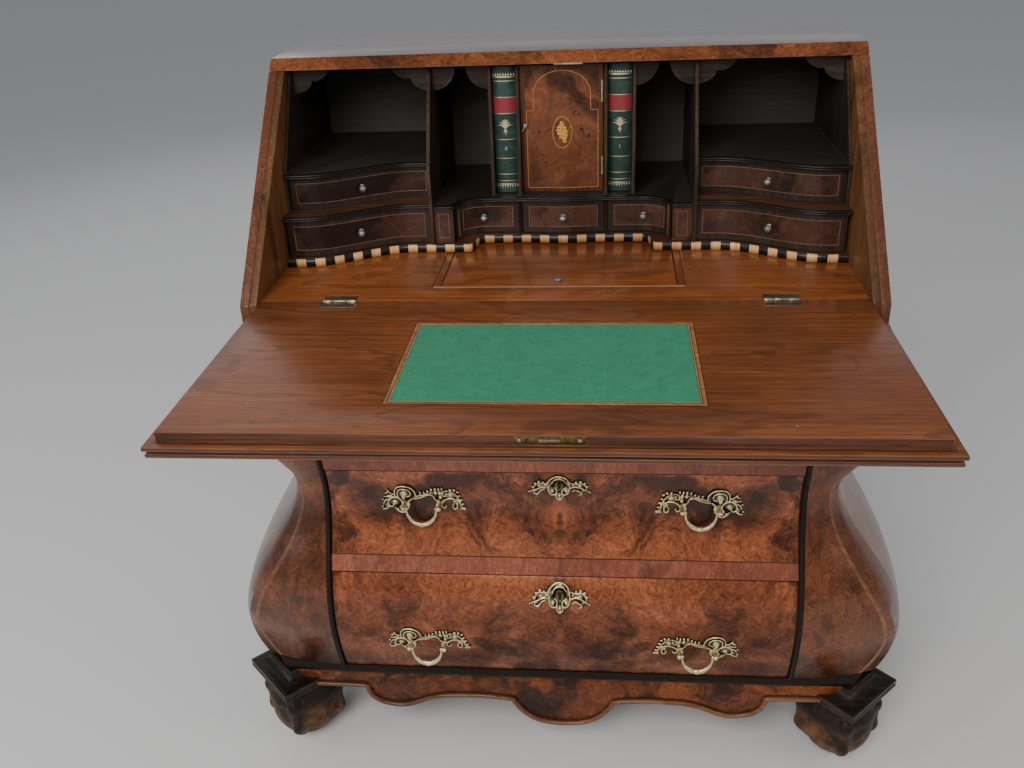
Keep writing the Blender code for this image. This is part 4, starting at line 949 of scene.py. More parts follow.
# The top board, cross-banded on its sloping front edge, with a steel strike plate let in for the fall's lock
top_outline = [
    (slant_edge(under_top), under_top), (slant_edge(top_height), top_height), (case_depth, top_height),
    (case_depth, under_top),
]
top_walnut = wood(
    "top_walnut", (0.03, 0.012, 0.007), (0.095, 0.036, 0.018), (0.165, 0.066, 0.032),
    roughness=0.2, coat=0.8, lines=16.0, wander=1.4, worn=(0.24, 0.11, 0.05), worn_width=0.001,
)
edge_burr = burr_wood(
    "top_edge_burr", (0.035, 0.01, 0.004), (0.185, 0.048, 0.014), (0.32, 0.098, 0.028),
    scale=(0.7, 1.0, 1.0), worn=(0.42, 0.19, 0.08), worn_width=0.001,
)
top_mesh = prism("top_board", top_outline, -half_width, half_width, "x", 0.0015)
place("veneered_top", top_mesh, [top_walnut, edge_burr], "case", "walnut", "top_board")
sorted_faces(top_mesh, lambda middle, normal: int(abs(normal.z) < 0.9 and normal.y < 0.5 and abs(normal.x) < 0.5))


def metal(name, dark, bright, roughness, grime=0.8, scale=60.0):
    """Old metal: bright where hands have rubbed it, dull and dark where it is tarnished."""
    finish, tree, shader, spot, _ = opened(name)
    tarnish = ramp_in(cloud_in(spot, scale, 6.0, 0.65), 0.36, 0.64)
    tone = blend_in(times(tarnish, grime), bright, dark)
    surfaced(tree, shader, tone, tarnish)
    tree.links.new(scaled(tarnish, 0.2, roughness), shader.inputs["Roughness"])
    shader.inputs["Metallic"].default_value = 1.0
    return finish


old_steel = metal("old_steel", (0.24, 0.17, 0.13), (0.56, 0.44, 0.36), 0.45)
strike_middle, strike_half = 0.011, 0.021
strike_y = slant_edge(under_top)
plate_mesh = slab(
    "strike", (strike_middle - strike_half, strike_y + 0.0008, under_top - 0.0022),
    (strike_middle + strike_half, strike_y + 0.014, under_top + 0.0004), 0.0004,
)
place("strike_plate", plate_mesh, old_steel, "case", "aged_brass")

# The frieze panel closes the front between the lopers, under the open fall. It is a plain veneered board, notched
# for the lopers at its ends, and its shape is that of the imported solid.
def softened(node, width=0.0006, steps=2):
    """A copy of a packed board, cleaned of its triangles' seams, with its arrises rounded off."""
    shape = bmesh.new()
    shape.from_mesh(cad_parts[node].data)
    bmesh.ops.remove_doubles(shape, verts=shape.verts, dist=1e-5)
    bmesh.ops.dissolve_limit(
        shape, angle_limit=math.radians(0.4), verts=shape.verts, edges=shape.edges, use_dissolve_boundaries=False
    )
    sharp = [e for e in shape.edges if e.calc_face_angle(0.0) > math.radians(35)]
    rounded_off(shape, sharp, width, steps)
    return smoothed(node, shape)


frieze_veneer = burr_wood(
    "frieze_veneer", burr_dark, burr_mid, burr_light,
    clouds=0.7, size=0.9, coat=0.4, worn=(0.33, 0.12, 0.05),
)
place(
    "veneered_frieze", softened("frieze_panel"), frieze_veneer, "case", "burr_walnut", "frieze_panel", shift=False
)

# The writing bed is one board of straight-grained walnut round the opening of the well
bed_walnut = wood(
    "bed_walnut", (0.08, 0.022, 0.007), (0.28, 0.078, 0.022), (0.43, 0.14, 0.041),
    roughness=0.2, coat=0.6, lines=5.0, wander=1.2, streaks=0.4, drift=0.3,
    worn=(0.36, 0.16, 0.07), worn_width=0.0009,
)
place("bed_board", softened("writing_bed", 0.0005), bed_walnut, "case", "walnut", "writing_bed", shift=False)

# The well is a plain box hung under that opening
place("well_lining", softened("well_box", 0.0005), carcass_wood, "case", "carcass_wood", "well_box", shift=False)

# The lid slides back over the well: a thin board held flat by a cleat at each end, with a rounded front edge and a
# small turned pull
lid_half, lid_near, lid_far = 0.1747, 0.0483, 0.242
lid_high, lid_low = 0.7794, 0.7704
cleat_width, cleat_gap, lip_depth = 0.0105, 0.0011, 0.0065
cleat_walnut = wood(
    "cleat_walnut", (0.07, 0.021, 0.008), (0.215, 0.066, 0.022), (0.34, 0.12, 0.042),
    turn=(0.0, 0.0, math.pi / 2), roughness=0.23, coat=0.5, worn=(0.48, 0.22, 0.11),
    lines=20.0,
)
board_half = lid_half - cleat_width - cleat_gap
board_mesh = slab("lid_board", (-board_half, lid_near, lid_low), (board_half, lid_far, lid_high), 0.0007, 3)
place("lid_board", board_mesh, bed_walnut, "well_lid", "walnut", "well_lid")
cleats = []
for side in (-1, 1):
    near, far = sorted((side * (lid_half - cleat_width), side * lid_half))
    cleats.append(
        slab("cleat", (near, lid_near + lip_depth, lid_low), (far, lid_far, lid_high + 0.0002), 0.0009, 3)
    )
place("lid_cleats", united("lid_cleats", cleats), cleat_walnut, "well_lid", "walnut")
# The lip's pale colour is a painted highlight along the lid's front edge; its rubbed edges are wear
lip_start = (-lid_half, lid_near - 0.0001, lid_low + 0.002)
lip_end = (lid_half, lid_near + lip_depth, lid_high + 0.0004)
lip_mesh = slab("lid_lip", lip_start, lip_end, 0.0014, 4)
highlit_worn_lip = wood(
    "worn_lid_lip", (0.3, 0.11, 0.06), (0.56, 0.235, 0.14), (0.68, 0.34, 0.22),
    roughness=0.24, worn=(0.66, 0.36, 0.22), worn_width=0.0016, coat=0.5,
)
place("lid_front_lip", lip_mesh, highlit_worn_lip, "well_lid", "walnut")


def turned(shape, centre, axis, profile, sides):
    """A small turning: rings of (distance along the axis, radius) about a centre."""
    axis = Vector(axis).normalized()
    lean = axis.orthogonal().normalized()
    other = axis.cross(lean)
    rings = []
    for along_it, radius in profile:
        rings.append([
            Vector(centre) + axis * along_it
            + radius * (math.cos(2 * math.pi * j / sides) * lean + math.sin(2 * math.pi * j / sides) * other)
            for j in range(sides)
        ])
    loft(shape, rings)


def knob(name, centre, axis, profile, sides):
    """One turning as a closed mesh."""
    shape = bmesh.new()
    turned(shape, centre, axis, profile, sides)
    return closed(name, shape, 40)


pewter = metal("old_pewter", (0.2, 0.185, 0.175), (0.5, 0.475, 0.455), 0.48, 0.7, 160.0)
lid_pull_y = 0.066
pull_profile = (
    (-0.0008, 0.004), (0.0004, 0.004), (0.0007, 0.0034), (0.001, 0.0019), (0.0026, 0.0017), (0.0034, 0.0026),
    (0.0044, 0.005), (0.0056, 0.0056), (0.0066, 0.005), (0.0074, 0.003), (0.0077, 0.0006),
)
lid_pull = knob("lid_pull", (0, lid_pull_y, lid_high), (0, 0, 1), pull_profile, 16)
place("lid_pull", lid_pull, pewter, "well_lid", "aged_brass")

# The lopers slide out beside the drawers to carry the fall: plain bars with a turned knob
for _, word in both_sides:
    loper = f"loper_{word}"
    place(f"loper_bar_{word}", softened(loper, 0.0007), cleat_walnut, loper, "walnut", loper, shift=False)

# The fall: a walnut board with a moulded and rebated edge on three sides, rubbed, scratched and flecked from use
panel_half, panel_length = 0.4065, 0.358
lip_top = writing_height - rebate
fall_walnut = wood(
    "fall_walnut", (0.055, 0.0155, 0.006), (0.225, 0.065, 0.02), (0.335, 0.112, 0.038),
    roughness=0.31, coat=0.15, lines=5.0, wander=1.9, streaks=0.4, drift=0.35,
    worn=(0.42, 0.21, 0.12), worn_width=0.001,
)
_, tree, shader, spot, surface = opened(fall_walnut)
for angle, scale, strength in ((0.9, (6.0, 420.0, 1.0), 0.5), (-0.5, (9.0, 520.0, 1.0), 0.4)):
    lines = cloud_in(stretch_in(spot, scale, (0.0, 0.0, angle)), 1.0, 1.0, 0.4)
    here = ramp_in(cloud_in(spot, 9.0, 2.0), 0.52, 0.62)
    marks = times(ramp_in(lines, 0.735, 0.76), here)
    surface = blend_in(times(marks, strength), surface, (0.36, 0.2, 0.13))
flecks = node_in(tree, "TexVoronoi", {"Vector": spot, "Scale": 34.0}).outputs
tiny = ramp_in(flecks["Distance"], 0.05, 0.025)
few = ramp_in(node_in(tree, "SeparateColor", {0: flecks["Color"]}).outputs[0], 0.8, 0.82)
surface = blend_in(times(tiny, few), surface, (0.5, 0.33, 0.24))
surfaced(tree, shader, surface)

# The edge mould, as steps out from the panel's side and down from the top of the lip
mould_profile = (
    (-0.004, 0.0002), (0.0002, 0.0002), (0.004, 0.0), (0.0072, -0.0003), (0.0096, -0.001), (0.0112, -0.0022),
    (0.0119, -0.0036), (0.0112, -0.005), (0.0098, -0.0058), (0.008, -0.0062), (0.0074, -0.0068),
    (0.0079, -0.0076), (0.0095, -0.0086), (0.0103, -0.0098), (0.0104, -0.0112), (0.0098, -0.0122),
    (0.0086, -0.013), (0.007, -0.0135), (-0.004, -0.0135),
)


def fall_ring(out):
    half, front = panel_half + out, -panel_length - out
    start = slant_edge(writing_height) - 0.0015
    return [(-half, start), (-half, front), (half, front), (half, start)]


shape = bmesh.new()
rows = []
for out, drop in mould_profile:
    rows.append([shape.verts.new((x, y, lip_top + drop)) for x, y in fall_ring(out)])
for low, high in zip(rows, rows[1:]):
    for i in range(3):
        shape.faces.new((low[i], low[i + 1], high[i + 1], high[i]))
shape.faces.new([row[0] for row in rows])
shape.faces.new([row[-1] for row in reversed(rows)])
for i in range(3):
    shape.faces.new((rows[0][i], rows[-1][i], rows[-1][i + 1], rows[0][i + 1]))
mould_mesh = closed("fall_edge_mould", shape, 50)
side_walnut = wood(
    "fall_end_walnut", (0.016, 0.0075, 0.005), (0.092, 0.032, 0.016), (0.165, 0.062, 0.03),
    roughness=0.3, coat=0.3, worn=(0.5, 0.26, 0.14), worn_width=0.0014,
    lines=420.0, wander=0.5, streaks=0.5,
)
place("fall_edge_mould", mould_mesh, side_walnut, "fall", "walnut")
panel_mesh = softened("fall_board", 0.0007)
place("fall_panel", panel_mesh, [fall_walnut, side_walnut], "fall", "walnut", "fall_board", shift=False)
sorted_faces(panel_mesh, lambda middle, normal: int(abs(normal.z) < 0.6))

# Green baize let into the fall: a felted woollen cloth cut to 336 by 206 mm and glued down flat, with worn
# pale edges, inside a banding of figured veneer between thin lines
baize_half, baize_near, baize_far = 0.168, -0.08, -0.286
baize_top, baize_depth = writing_height - 0.0001, 0.0009
felt, tree, shader, spot, _ = opened("green_felt")
fuzz = cloud_in(spot, 460.0, 4.0, 0.7)
mottle = cloud_in(spot, 70.0, 6.0, 0.75, 0.4)
tone = blend_in(ramp_in(mottle, 0.3, 0.7), (0.012, 0.185, 0.08), (0.024, 0.27, 0.132))
tone = blend_in(times(ramp_in(fuzz, 0.36, 0.64), 0.5), tone, (0.048, 0.36, 0.2))
lint = node_in(tree, "TexVoronoi", {"Vector": spot, "Scale": 75.0}).outputs
specks = times(ramp_in(lint["Distance"], 0.09, 0.04),
    ramp_in(node_in(tree, "SeparateColor", {0: lint["Color"]}).outputs[0], 0.72, 0.76),
)
tone = blend_in(times(specks, 0.55), tone, (0.36, 0.5, 0.4))
surfaced(tree, shader, tone, plus(fuzz, times(mottle, 0.6)), 0.5, 0.0004)
shader.inputs["Roughness"].default_value = 0.95
shader.inputs["Sheen Weight"].default_value = 0.08
shader.inputs["Sheen Roughness"].default_value = 0.5
baize_low, baize_high = (-baize_half, baize_far, baize_top - baize_depth), (baize_half, baize_near, baize_top)
baize_mesh = slab("baize_cloth", baize_low, baize_high, 0.0003, 1)
cloth = place("baize_cloth", baize_mesh, felt, "fall", "green_baize", "baize")


def framed(name, half, near, far, width, z_low, z_high):
    """Four mitred strips round an opening: half and the two ends are the opening's, width is the strip's."""
    inner, outer = (
        [(-half - out, far - out), (half + out, far - out), (half + out, near + out), (-half - out, near + out)]
        for out in (0, width)
    )
    shape = bmesh.new()
    for i in range(4):
        j = (i + 1) % 4
        ring = [inner[i], inner[j], outer[j], outer[i]]
        loft(shape, [[(x, y, z) for x, y in ring] for z in (z_low, z_high)])
    return closed(name, shape, 30, weld=1e-7)


ivory_line = wood(
    "boxwood_line", (0.2, 0.11, 0.055), (0.44, 0.27, 0.14), (0.6, 0.42, 0.25),
    roughness=0.4, coat=0.2, lines=60.0,
)
banding_wood = wood(
    "baize_banding", (0.2, 0.07, 0.026), (0.48, 0.19, 0.068), (0.62, 0.3, 0.115),
    roughness=0.28, coat=0.4, lines=60.0, wander=0.8, turn=(0.0, 0.0, 0.5),
)
seam = fit_gap
band_top = writing_height + 0.00012
bare = 0.0015
lines_of_band = (
    ("baize_edge_glue", seam, bare, ivory_line), ("baize_inner_line", seam + bare, 0.0009, ebony),
    ("baize_banding", seam + bare + 0.0009, 0.004, banding_wood),
    ("baize_outer_line", seam + bare + 0.0049, 0.0009, ebony),
)
for name, start, width, finish in lines_of_band:
    ring = framed(
        name, baize_half + start, baize_near + start, baize_far - start, width, writing_height - 0.0008, band_top
    )
    place(name, ring, finish, "fall", "walnut")

# The fall's lock: a brass plate with worn edges let into the front edge, with its bolt and two pins
aged_brass = metal("aged_brass", (0.085, 0.068, 0.042), (0.46, 0.39, 0.27), 0.36, 0.75, 110.0)
dark_brass = metal("dull_brass", (0.06, 0.04, 0.018), (0.26, 0.19, 0.075), 0.42, 0.8, 120.0)
place("fall_lock_case", softened("fall_lock", 0.0004), dark_brass, "fall", "aged_brass", "fall_lock", shift=False)
lock_middle, lock_low, lock_high, pin_x, bolt_half, bolt_inset = 0.011, 0.7692, 0.7782, 0.031, 0.011, 0.0028
pin_profile = ((0.0, 0.0022), (0.0005, 0.0022), (0.0008, 0.0014), (0.0009, 0.0003))
lock_face = -panel_length - fit_gap
shape = bmesh.new()
for x in (-pin_x, pin_x):
    turned(shape, (lock_middle + x, lock_face + 0.0003, (lock_low + lock_high) / 2), (0, -1, 0), pin_profile, 12)
bolt = slab(
    "bolt", (lock_middle - bolt_half, lock_face - 0.0006, lock_low + bolt_inset),
    (lock_middle + bolt_half, lock_face + 0.0008, lock_high - bolt_inset), 0.0003,
)
shape.from_mesh(bolt)
bpy.data.meshes.remove(bolt)
place("fall_lock_bolt", closed("fall_lock_bolt", shape, 40), old_steel, "fall", "aged_brass")

# The two butt hinges of the fall, each leaf held by countersunk screws
hinge_x, screw_x, screw_y = 0.295, 0.014, 0.0125
screw_profile = ((0.0, 0.0027), (0.0004, 0.0026), (0.00055, 0.0019), (0.0006, 0.0003))
for board, body, way in (("fall", "fall", -1), ("bed", "case", 1)):
    for side, word in both_sides:
        node = f"hinge_{board}_leaf_{word}"
        place(f"butt_{board}_{word}", softened(node, 0.00025), aged_brass, body, "aged_brass", node, shift=False)
        shape = bmesh.new()
        for x in (-screw_x, screw_x):
            centre = (side * hinge_x + x, way * screw_y, writing_height - fit_gap - 0.0002)
            turned(shape, centre, (0, 0, 1), screw_profile, 14)
        place(f"hinge_screws_{board}_{word}", closed("screws", shape, 40), dark_brass, body, "aged_brass")

# The long drawers: bombe fronts of thick walnut, veneered with burr on the face and black round the edge,
# each with a plain box of secondary wood behind
drawer_gap, front_board = 0.0012, 0.02
drawers = {"upper": (0.4659, 0.49996), "lower": (0.247, 0.3379)}
# The burr is darkened towards the bottom and in its hollows as painted shade
drawer_burr = burr_wood(
    "drawer_burr_veneer", (0.024, 0.0085, 0.005), (0.26, 0.068, 0.028), (0.54, 0.165, 0.062),
    roughness=0.25, clouds=0.85, size=0.85, coat=0.4, matched=0.55, worn=(0.46, 0.19, 0.07), worn_width=0.001,
    soil=0.75, sooty=(0.45, 0.19, 0.8), shine=0.3,
)


def drawer_face(name, low, high):
    """A board bent to the front's curve, with a rounded arris."""
    half = front_halves - drawer_gap
    heights = spread(low, high, 28)
    outline = [(front_at(z), z) for z in heights] + [(front_at(z) + front_board, z) for z in reversed(heights)]
    return prism(name, outline, -half, half, "x", 0.0009, 42)


for word in drawers:
    body = f"{word}_drawer"
    low, high = (corner.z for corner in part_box(f"{word}_drawer_front"))
    face = drawer_face("drawer_face", low, high)
    place(f"{word}_drawer_veneer", face, drawer_burr, body, "burr_walnut", f"{word}_drawer_front")
    box = f"{word}_drawer_box"
    place(f"{word}_drawer_boards", softened(box, 0.0008), carcass_wood, body, "carcass_wood", box, shift=False)

# Cast brass on the drawers: openwork plates of scrolls, leaves and a shell, worn bright on their high parts and dark
# in their hollows from tarnish and painted shade, that lie along the swell of the drawer. Places on a plate are in
# millimetres from the bail's pivots, outwards and up.
cast_brass = metal("cast_brass", (0.3, 0.235, 0.115), (0.95, 0.82, 0.5), 0.3, 0.5, 240.0)
_, tree, shader, spot, bright = opened(cast_brass)
height = node_in(tree, "Attribute", attribute_name="relief").outputs["Fac"]
broken = cloud_in(spot, 300.0, 3.0)
height = plus(height, scaled(broken, 0.0008, -0.0004))
high_parts = ramp_in(height, 0.0019, 0.0026)
# The lowest parts of the relief go nearly black: tarnish, and painted shade round the straps
tarnish_and_shade = ramp_in(height, 0.002, 0.0014)
tone = blend_in(high_parts, (0.15, 0.112, 0.052), bright)
surfaced(tree, shader, blend_in(tarnish_and_shade, tone, (0.012, 0.009, 0.006)))
bail_brass = metal("bail_brass", (0.28, 0.21, 0.1), (0.92, 0.79, 0.48), 0.3, 0.55, 200.0)
# The keyholes are near-black solids: painted shade where the hole is dark
keyhole_painted_shade = plain_finish("keyhole_painted_shade", (0.004, 0.003, 0.003), 0.85)
casting_voxel, strap_rise, web_rise, millimetre = 0.00048, 0.0018, 0.0019, 0.001
handle_x, brass_lift = 0.203, 0.0004
bail_half, bail_out, bail_drop, post_beside = 0.0223, 0.0165, 0.0275, 0.0042
handle_straps = (
    (1.7, ((9.5, 10.4), (11.3, 17.4), (17.6, 23.6), (27.4, 25.8), (35.4, 24.2), (39.8, 18.6), (40.2, 11.0))),
    (1.4, ((23.4, 8.8), (18.4, 10.6), (17.2, 15.4), (20.6, 19.2), (27.8, 21.0), (34.2, 18.9), (36.6, 13.4),
           (34.6, 7.2), (31.0, 2.6))),
    (1.6, ((33.8, -6.6), (30.8, -4.6), (29.8, 0.4), (32.8, 5.4), (39.8, 8.4), (46.6, 6.4), (50.4, 1.2), (49.2, -4.0),
           (44.8, -5.8), (42.6, -2.6))),
    (1.3, ((41.0, 12.6), (46.0, 14.4), (50.4, 19.0))),
    (1.3, ((43.4, 10.4), (49.0, 9.4), (55.6, 9.2))),
    (1.3, ((50.4, 5.0), (55.0, 3.0), (57.6, -2.0))),
    (1.4, ((49.2, -4.6), (53.0, -8.4), (58.2, -9.0))),
    (1.3, ((20.4, -6.0), (24.0, -11.4), (30.0, -13.4), (36.6, -11.0), (40.6, -6.6))),
    (1.9, ((16.4, 5.4), (20.4, 1.6), (22.3, -2.0), (20.6, -7.0))),
    (1.5, ((-18.0, 5.6), (-16.4, 10.4), (-11.6, 12.6), (-6.2, 11.8), (0.4, 8.6), (9.0, 6.6), (16.4, 5.6))),
    (1.2, ((-8.0, 15.0), (-2.0, 12.6), (5.0, 10.4), (13.0, 8.4))),
    (1.5, ((-56.4, 3.0), (-49.4, 5.4), (-41.8, 7.2), (-34.2, 5.4), (-28.8, 0.4), (-29.2, -5.0), (-33.6, -6.2),
           (-34.8, -2.9))),
    (1.5, ((-44.8, 3.4), (-48.6, 2.4), (-51.0, -1.8), (-50.2, -6.8), (-46.6, -7.6), (-44.3, -3.2), (-46.6, 0.0))),
    (1.3, ((-38.6, 18.6), (-33.4, 18.6), (-29.4, 14.2), (-30.8, 10.6), (-34.4, 11.0))),
    (1.6, ((-23.4, 4.4), (-25.6, -1.6), (-23.6, -6.4))),
    (1.6, ((-19.1, 5.6), (-22.3, 0.3), (-20.2, -6.2))),
    (1.4, ((-61.0, -8.0), (-56.4, -3.0), (-54.6, 3.6), (-51.0, 10.0), (-46.0, 15.6), (-40.4, 18.0))),
)
handle_lobes = (
    (26.8, 13.4, 4.4, 5.2), (27.6, 8.6, 3.0, 4.4), (40.4, 0.6, 3.4, 3.4), (-52.0, 17.6, 2.3, 2.1),
    (-47.2, 20.2, 2.2, 2.4), (-41.5, 20.6, 2.2, 2.2), (-54.4, 11.4, 2.2, 1.9), (-57.2, 5.4, 2.3, 1.9),
    (-59.4, -0.8, 2.2, 1.9), (-61.2, -7.0, 2.8, 2.6), (-56.8, -7.4, 2.0, 1.8), (-41.0, 12.8, 3.0, 2.8),
    (-35.0, 14.6, 1.6, 1.6), (-29.4, 22.0, 1.6, 3.0), (-24.6, 20.6, 1.7, 3.6), (-19.4, 20.8, 2.0, 3.2),
    (-13.8, 20.6, 2.0, 2.8), (-8.2, 17.8, 1.7, 2.4), (-3.0, 16.0, 1.5, 2.4), (2.4, 15.4, 1.5, 2.6),
    (-26.6, 8.6, 2.6, 2.8), (-26.0, 15.0, 2.2, 3.0), (-19.8, 15.2, 2.4, 3.0), (53.4, 14.4, 1.8, 1.5),
    (58.0, 4.8, 1.7, 1.5), (58.8, -5.2, 1.7, 1.6), (25.6, -10.6, 1.6, 2.0), (31.0, -9.4, 2.0, 2.2),
    (36.0, -9.0, 1.6, 2.0), (50.6, 16.0, 1.4, 2.6), (20.6, -3.0, 2.8, 3.4), (-21.6, -3.0, 2.6, 3.4),
)
handle_webs = (
    (-41.0, 12.0, 12.0, 7.4), (-27.0, 14.6, 8.0, 6.0), (-14.0, 15.6, 8.0, 3.6), (-52.0, 3.0, 5.0, 8.0),
    (-24.0, 1.0, 4.4, 8.0), (27.4, 13.8, 11.0, 9.0), (41.0, 1.6, 10.5, 7.4), (27.6, -5.4, 8.0, 7.0),
    (48.0, 9.0, 6.0, 6.0), (20.4, -1.0, 3.4, 7.0), (2.0, 11.6, 8.0, 2.6), (53.0, -3.0, 4.4, 6.0),
)
plate_straps = (
    (1.7, ((-16.6, -1.0), (-16.2, 5.6), (-11.6, 12.0), (-3.6, 16.8), (5.4, 16.0), (11.6, 10.4), (13.6, 3.4))),
    (1.3, ((-10.4, 3.0), (-8.4, 8.4), (-2.4, 11.8), (4.6, 11.0), (8.6, 6.4))),
    (1.5, ((-14.0, 0.0), (-15.4, -7.0), (-12.2, -13.6), (-6.4, -14.2), (-3.8, -9.0), (-6.4, -3.6))),
    (1.5, ((13.6, 3.4), (14.6, -3.6), (12.4, -11.0), (7.4, -14.6), (3.2, -11.2), (5.4, -6.0), (8.8, -3.4))),
    (1.4, ((-3.0, -13.0), (-4.6, -17.0), (-0.4, -22.0), (4.4, -17.6), (3.0, -13.6))),
    (1.2, ((0.2, -12.0), (0.0, -20.0))),
    (1.5, ((-15.6, -3.4), (-21.0, -2.2), (-27.6, -4.0), (-33.4, -6.6), (-43.0, -9.8))),
    (1.3, ((-20.0, -4.8), (-26.0, -7.6), (-30.4, -12.6), (-35.6, -12.4), (-35.8, -8.6))),
    (1.3, ((-36.4, -5.4), (-33.6, 1.2), (-28.6, 4.8), (-22.0, 3.6), (-16.8, 5.6))),
    (1.5, ((14.4, -3.8), (21.8, -1.6), (29.6, -3.2), (35.6, -6.6), (43.0, -10.2))),
    (1.3, ((17.0, -9.4), (22.2, -6.8), (27.4, -9.4), (31.6, -13.0), (27.2, -14.6))),
    (1.3, ((38.0, -5.6), (35.6, 1.0), (30.4, 4.6), (23.0, 3.6), (14.6, 5.8))),
)
plate_lobes = (
    (-33.4, 3.6, 2.3, 2.2), (-28.2, 7.4, 2.4, 2.1), (-22.4, 6.0, 2.0, 2.0), (-37.0, -2.0, 2.2, 2.0),
    (-27.6, 0.4, 2.2, 2.0), (23.4, 6.4, 2.0, 2.0), (29.6, 7.6, 2.4, 2.1), (35.4, 4.6, 2.3, 2.2),
    (38.6, -0.6, 2.1, 2.0), (29.0, 0.6, 2.2, 1.9), (-9.8, -8.6, 2.4, 3.4), (8.8, -8.4, 2.2, 3.2),
    (0.0, -16.4, 2.0, 2.6), (0.8, 14.2, 2.4, 1.6), (-31.4, -13.6, 2.0, 1.6), (18.6, 1.6, 1.8, 1.8),
    (-19.4, 1.4, 1.8, 1.8),
)
plate_webs = (
    (-26.0, 0.0, 10.0, 5.6), (27.0, 0.0, 10.0, 5.6), (-11.0, -7.0, 5.6, 8.0), (10.6, -6.4, 5.6, 8.4),
    (0.0, 13.0, 11.0, 4.4), (0.0, -14.4, 5.0, 5.6), (-13.0, 4.0, 4.0, 8.0), (11.4, 4.0, 3.6, 8.0),
    (-33.0, -8.0, 5.0, 4.0), (0.0, -1.0, 10.0, 12.0), (33.0, -8.0, 5.0, 4.0),
)


def on_face(x, z, out):
    """A point a given distance in front of the drawers' swelling face."""
    lean = (front_at(z + millimetre) - front_at(z - millimetre)) / (2 * millimetre)
    return Vector((x, front_at(z), z)) + Vector((0.0, -1.0, lean)).normalized() * out


def casting(name, straps, lobes, webs):
    """A flat openwork casting: straps over thin webs with leaf lobes, run together as metal does in a mould."""
    shape = bmesh.new()
    for thick, run in straps:
        path = bridged([(u * millimetre, v * millimetre) for u, v in run], 5)
        last = len(path) - 1
        points = []
        for k, (u, v) in enumerate(path):
            share = k / last
            swollen = 0.62 + 0.38 * math.sin(math.pi * min(1.0, 0.12 + 0.86 * share))
            points.append((u, v, strap_rise, thick * millimetre * 0.82 * swollen))
        strand(shape, points, 8)
        blob(shape, points[-1][:3], [points[-1][3] * 1.55] * 3, 10, 8)
    for u, v, wide, tall in lobes:
        blob(shape, (u * millimetre, v * millimetre, strap_rise * 0.8),
             (wide * millimetre, tall * millimetre, 0.0021), 12, 8)
    for u, v, wide, tall in webs:
        blob(
            shape, (u * millimetre, v * millimetre, 0.0003), (wide * millimetre, tall * millimetre, web_rise), 16, 8
        )
    return carved(shape, name, casting_voxel, 1)


def laid_on(flat_mesh, name, middle, height, mirrored, wide, tall):
    """A copy of a flat casting, stretched and bent to the face round a point, mirrored for the left-hand side."""
    mesh = flat_mesh.copy()
    mesh.name = name
    side = -1 if mirrored else 1
    relief = mesh.attributes.new("relief", "FLOAT", "POINT")
    for vertex, mark in zip(mesh.vertices, relief.data):
        u, v, out = vertex.co
        mark.value = out
        vertex.co = on_face(middle + side * wide * u, height + tall * v, max(out, 0.0) + brass_lift)
    if mirrored:
        mesh.flip_normals()
    return mesh


bail_steps = 40
keyhole_round, keyhole_rise, keyhole_foot, keyhole_drop = 0.0031, 0.0034, 0.0021, 0.0048
keyhole_angles = [math.pi * (k / 8 - 0.25) for k in range(13)]
post_profile = (
    (0.0, 0.0046), (0.0022, 0.0042), (0.0034, 0.003), (0.0105, 0.0024), (0.0125, 0.0032), (0.0145, 0.0038),
    (0.0172, 0.004), (0.0192, 0.0034), (0.0204, 0.0018), (0.0207, 0.0004),
)
flat_handle = casting("handle_casting", handle_straps, handle_lobes, handle_webs)
flat_plate = casting("escutcheon_casting", plate_straps, plate_lobes, plate_webs)
for word, (pivot, lock) in drawers.items():
    body = f"{word}_drawer"
    for side, side_word in both_sides:
        plate_mesh = laid_on(flat_handle, "handle_plate", side * handle_x, pivot, side < 0, 1.02, 1.12)
        shape = bmesh.new()
        face_y = front_at(pivot)
        for end in (-1, 1):
            post = (side * handle_x + end * (bail_half + post_beside), face_y, pivot)
            turned(shape, post, (0, -1, 0), post_profile, 14)
        posts = closed("posts", shape, 50)
        for mark in posts.attributes.new("relief", "FLOAT", "POINT").data:
            mark.value = 2.6 * millimetre
        plate_mesh = united("handle_plate", [plate_mesh, posts], 60)
        place(
            f"{word}_handle_casting_{side_word}", plate_mesh, cast_brass, body, "aged_brass",
            f"{word}_handle_plate_{side_word}",
        )
        points = []
        for k in range(bail_steps + 1):
            share = k / bail_steps
            angle = math.pi * share
            middle = math.sin(angle)
            beads = 0.00035 * max(0.0, math.cos(24 * math.pi * share)) * (0.3 < abs(share - 0.5) * 2 < 0.62)
            radius = 0.0016 + 0.0027 * middle ** 2 + beads + 0.0007 * max(0.0, 1 - abs(share - 0.5) / 0.05)
            points.append((
                side * handle_x - bail_half * math.cos(angle), face_y - bail_out, pivot - bail_drop * middle ** 0.9,
                radius,
            ))
        shape = bmesh.new()
        strand(shape, points, 14)
        for end in (-1, 1):
            pin = (side * handle_x + end * bail_half, face_y - bail_out, pivot)
            blob(shape, pin, (0.0029, 0.0024, 0.0026), 12, 8)
        place(f"{word}_drop_handle_{side_word}", closed("bail", shape, 60), bail_brass, f"{word}_bail_{side_word}",
              "aged_brass", f"{word}_bail_{side_word}")
    plate_mesh = laid_on(flat_plate, "escutcheon", 0.0, lock, False, 1.04, 1.14)
    place(f"{word}_escutcheon_casting", plate_mesh, cast_brass, body, "aged_brass", f"{word}_escutcheon")
    # A near-black keyhole shape let into plate and face is painted shade for the hole
    hole = [(keyhole_round * math.cos(a), keyhole_rise + keyhole_round * math.sin(a)) for a in keyhole_angles]
    hole += [(-keyhole_foot, -keyhole_drop), (keyhole_foot, -keyhole_drop)]
    keyhole = lofted("keyhole", [[on_face(u, lock + v, out) for u, v in hole] for out in (-0.0004, 0.0031)], 50)
    place(f"{word}_keyhole", keyhole, keyhole_painted_shade, body, "aged_brass")

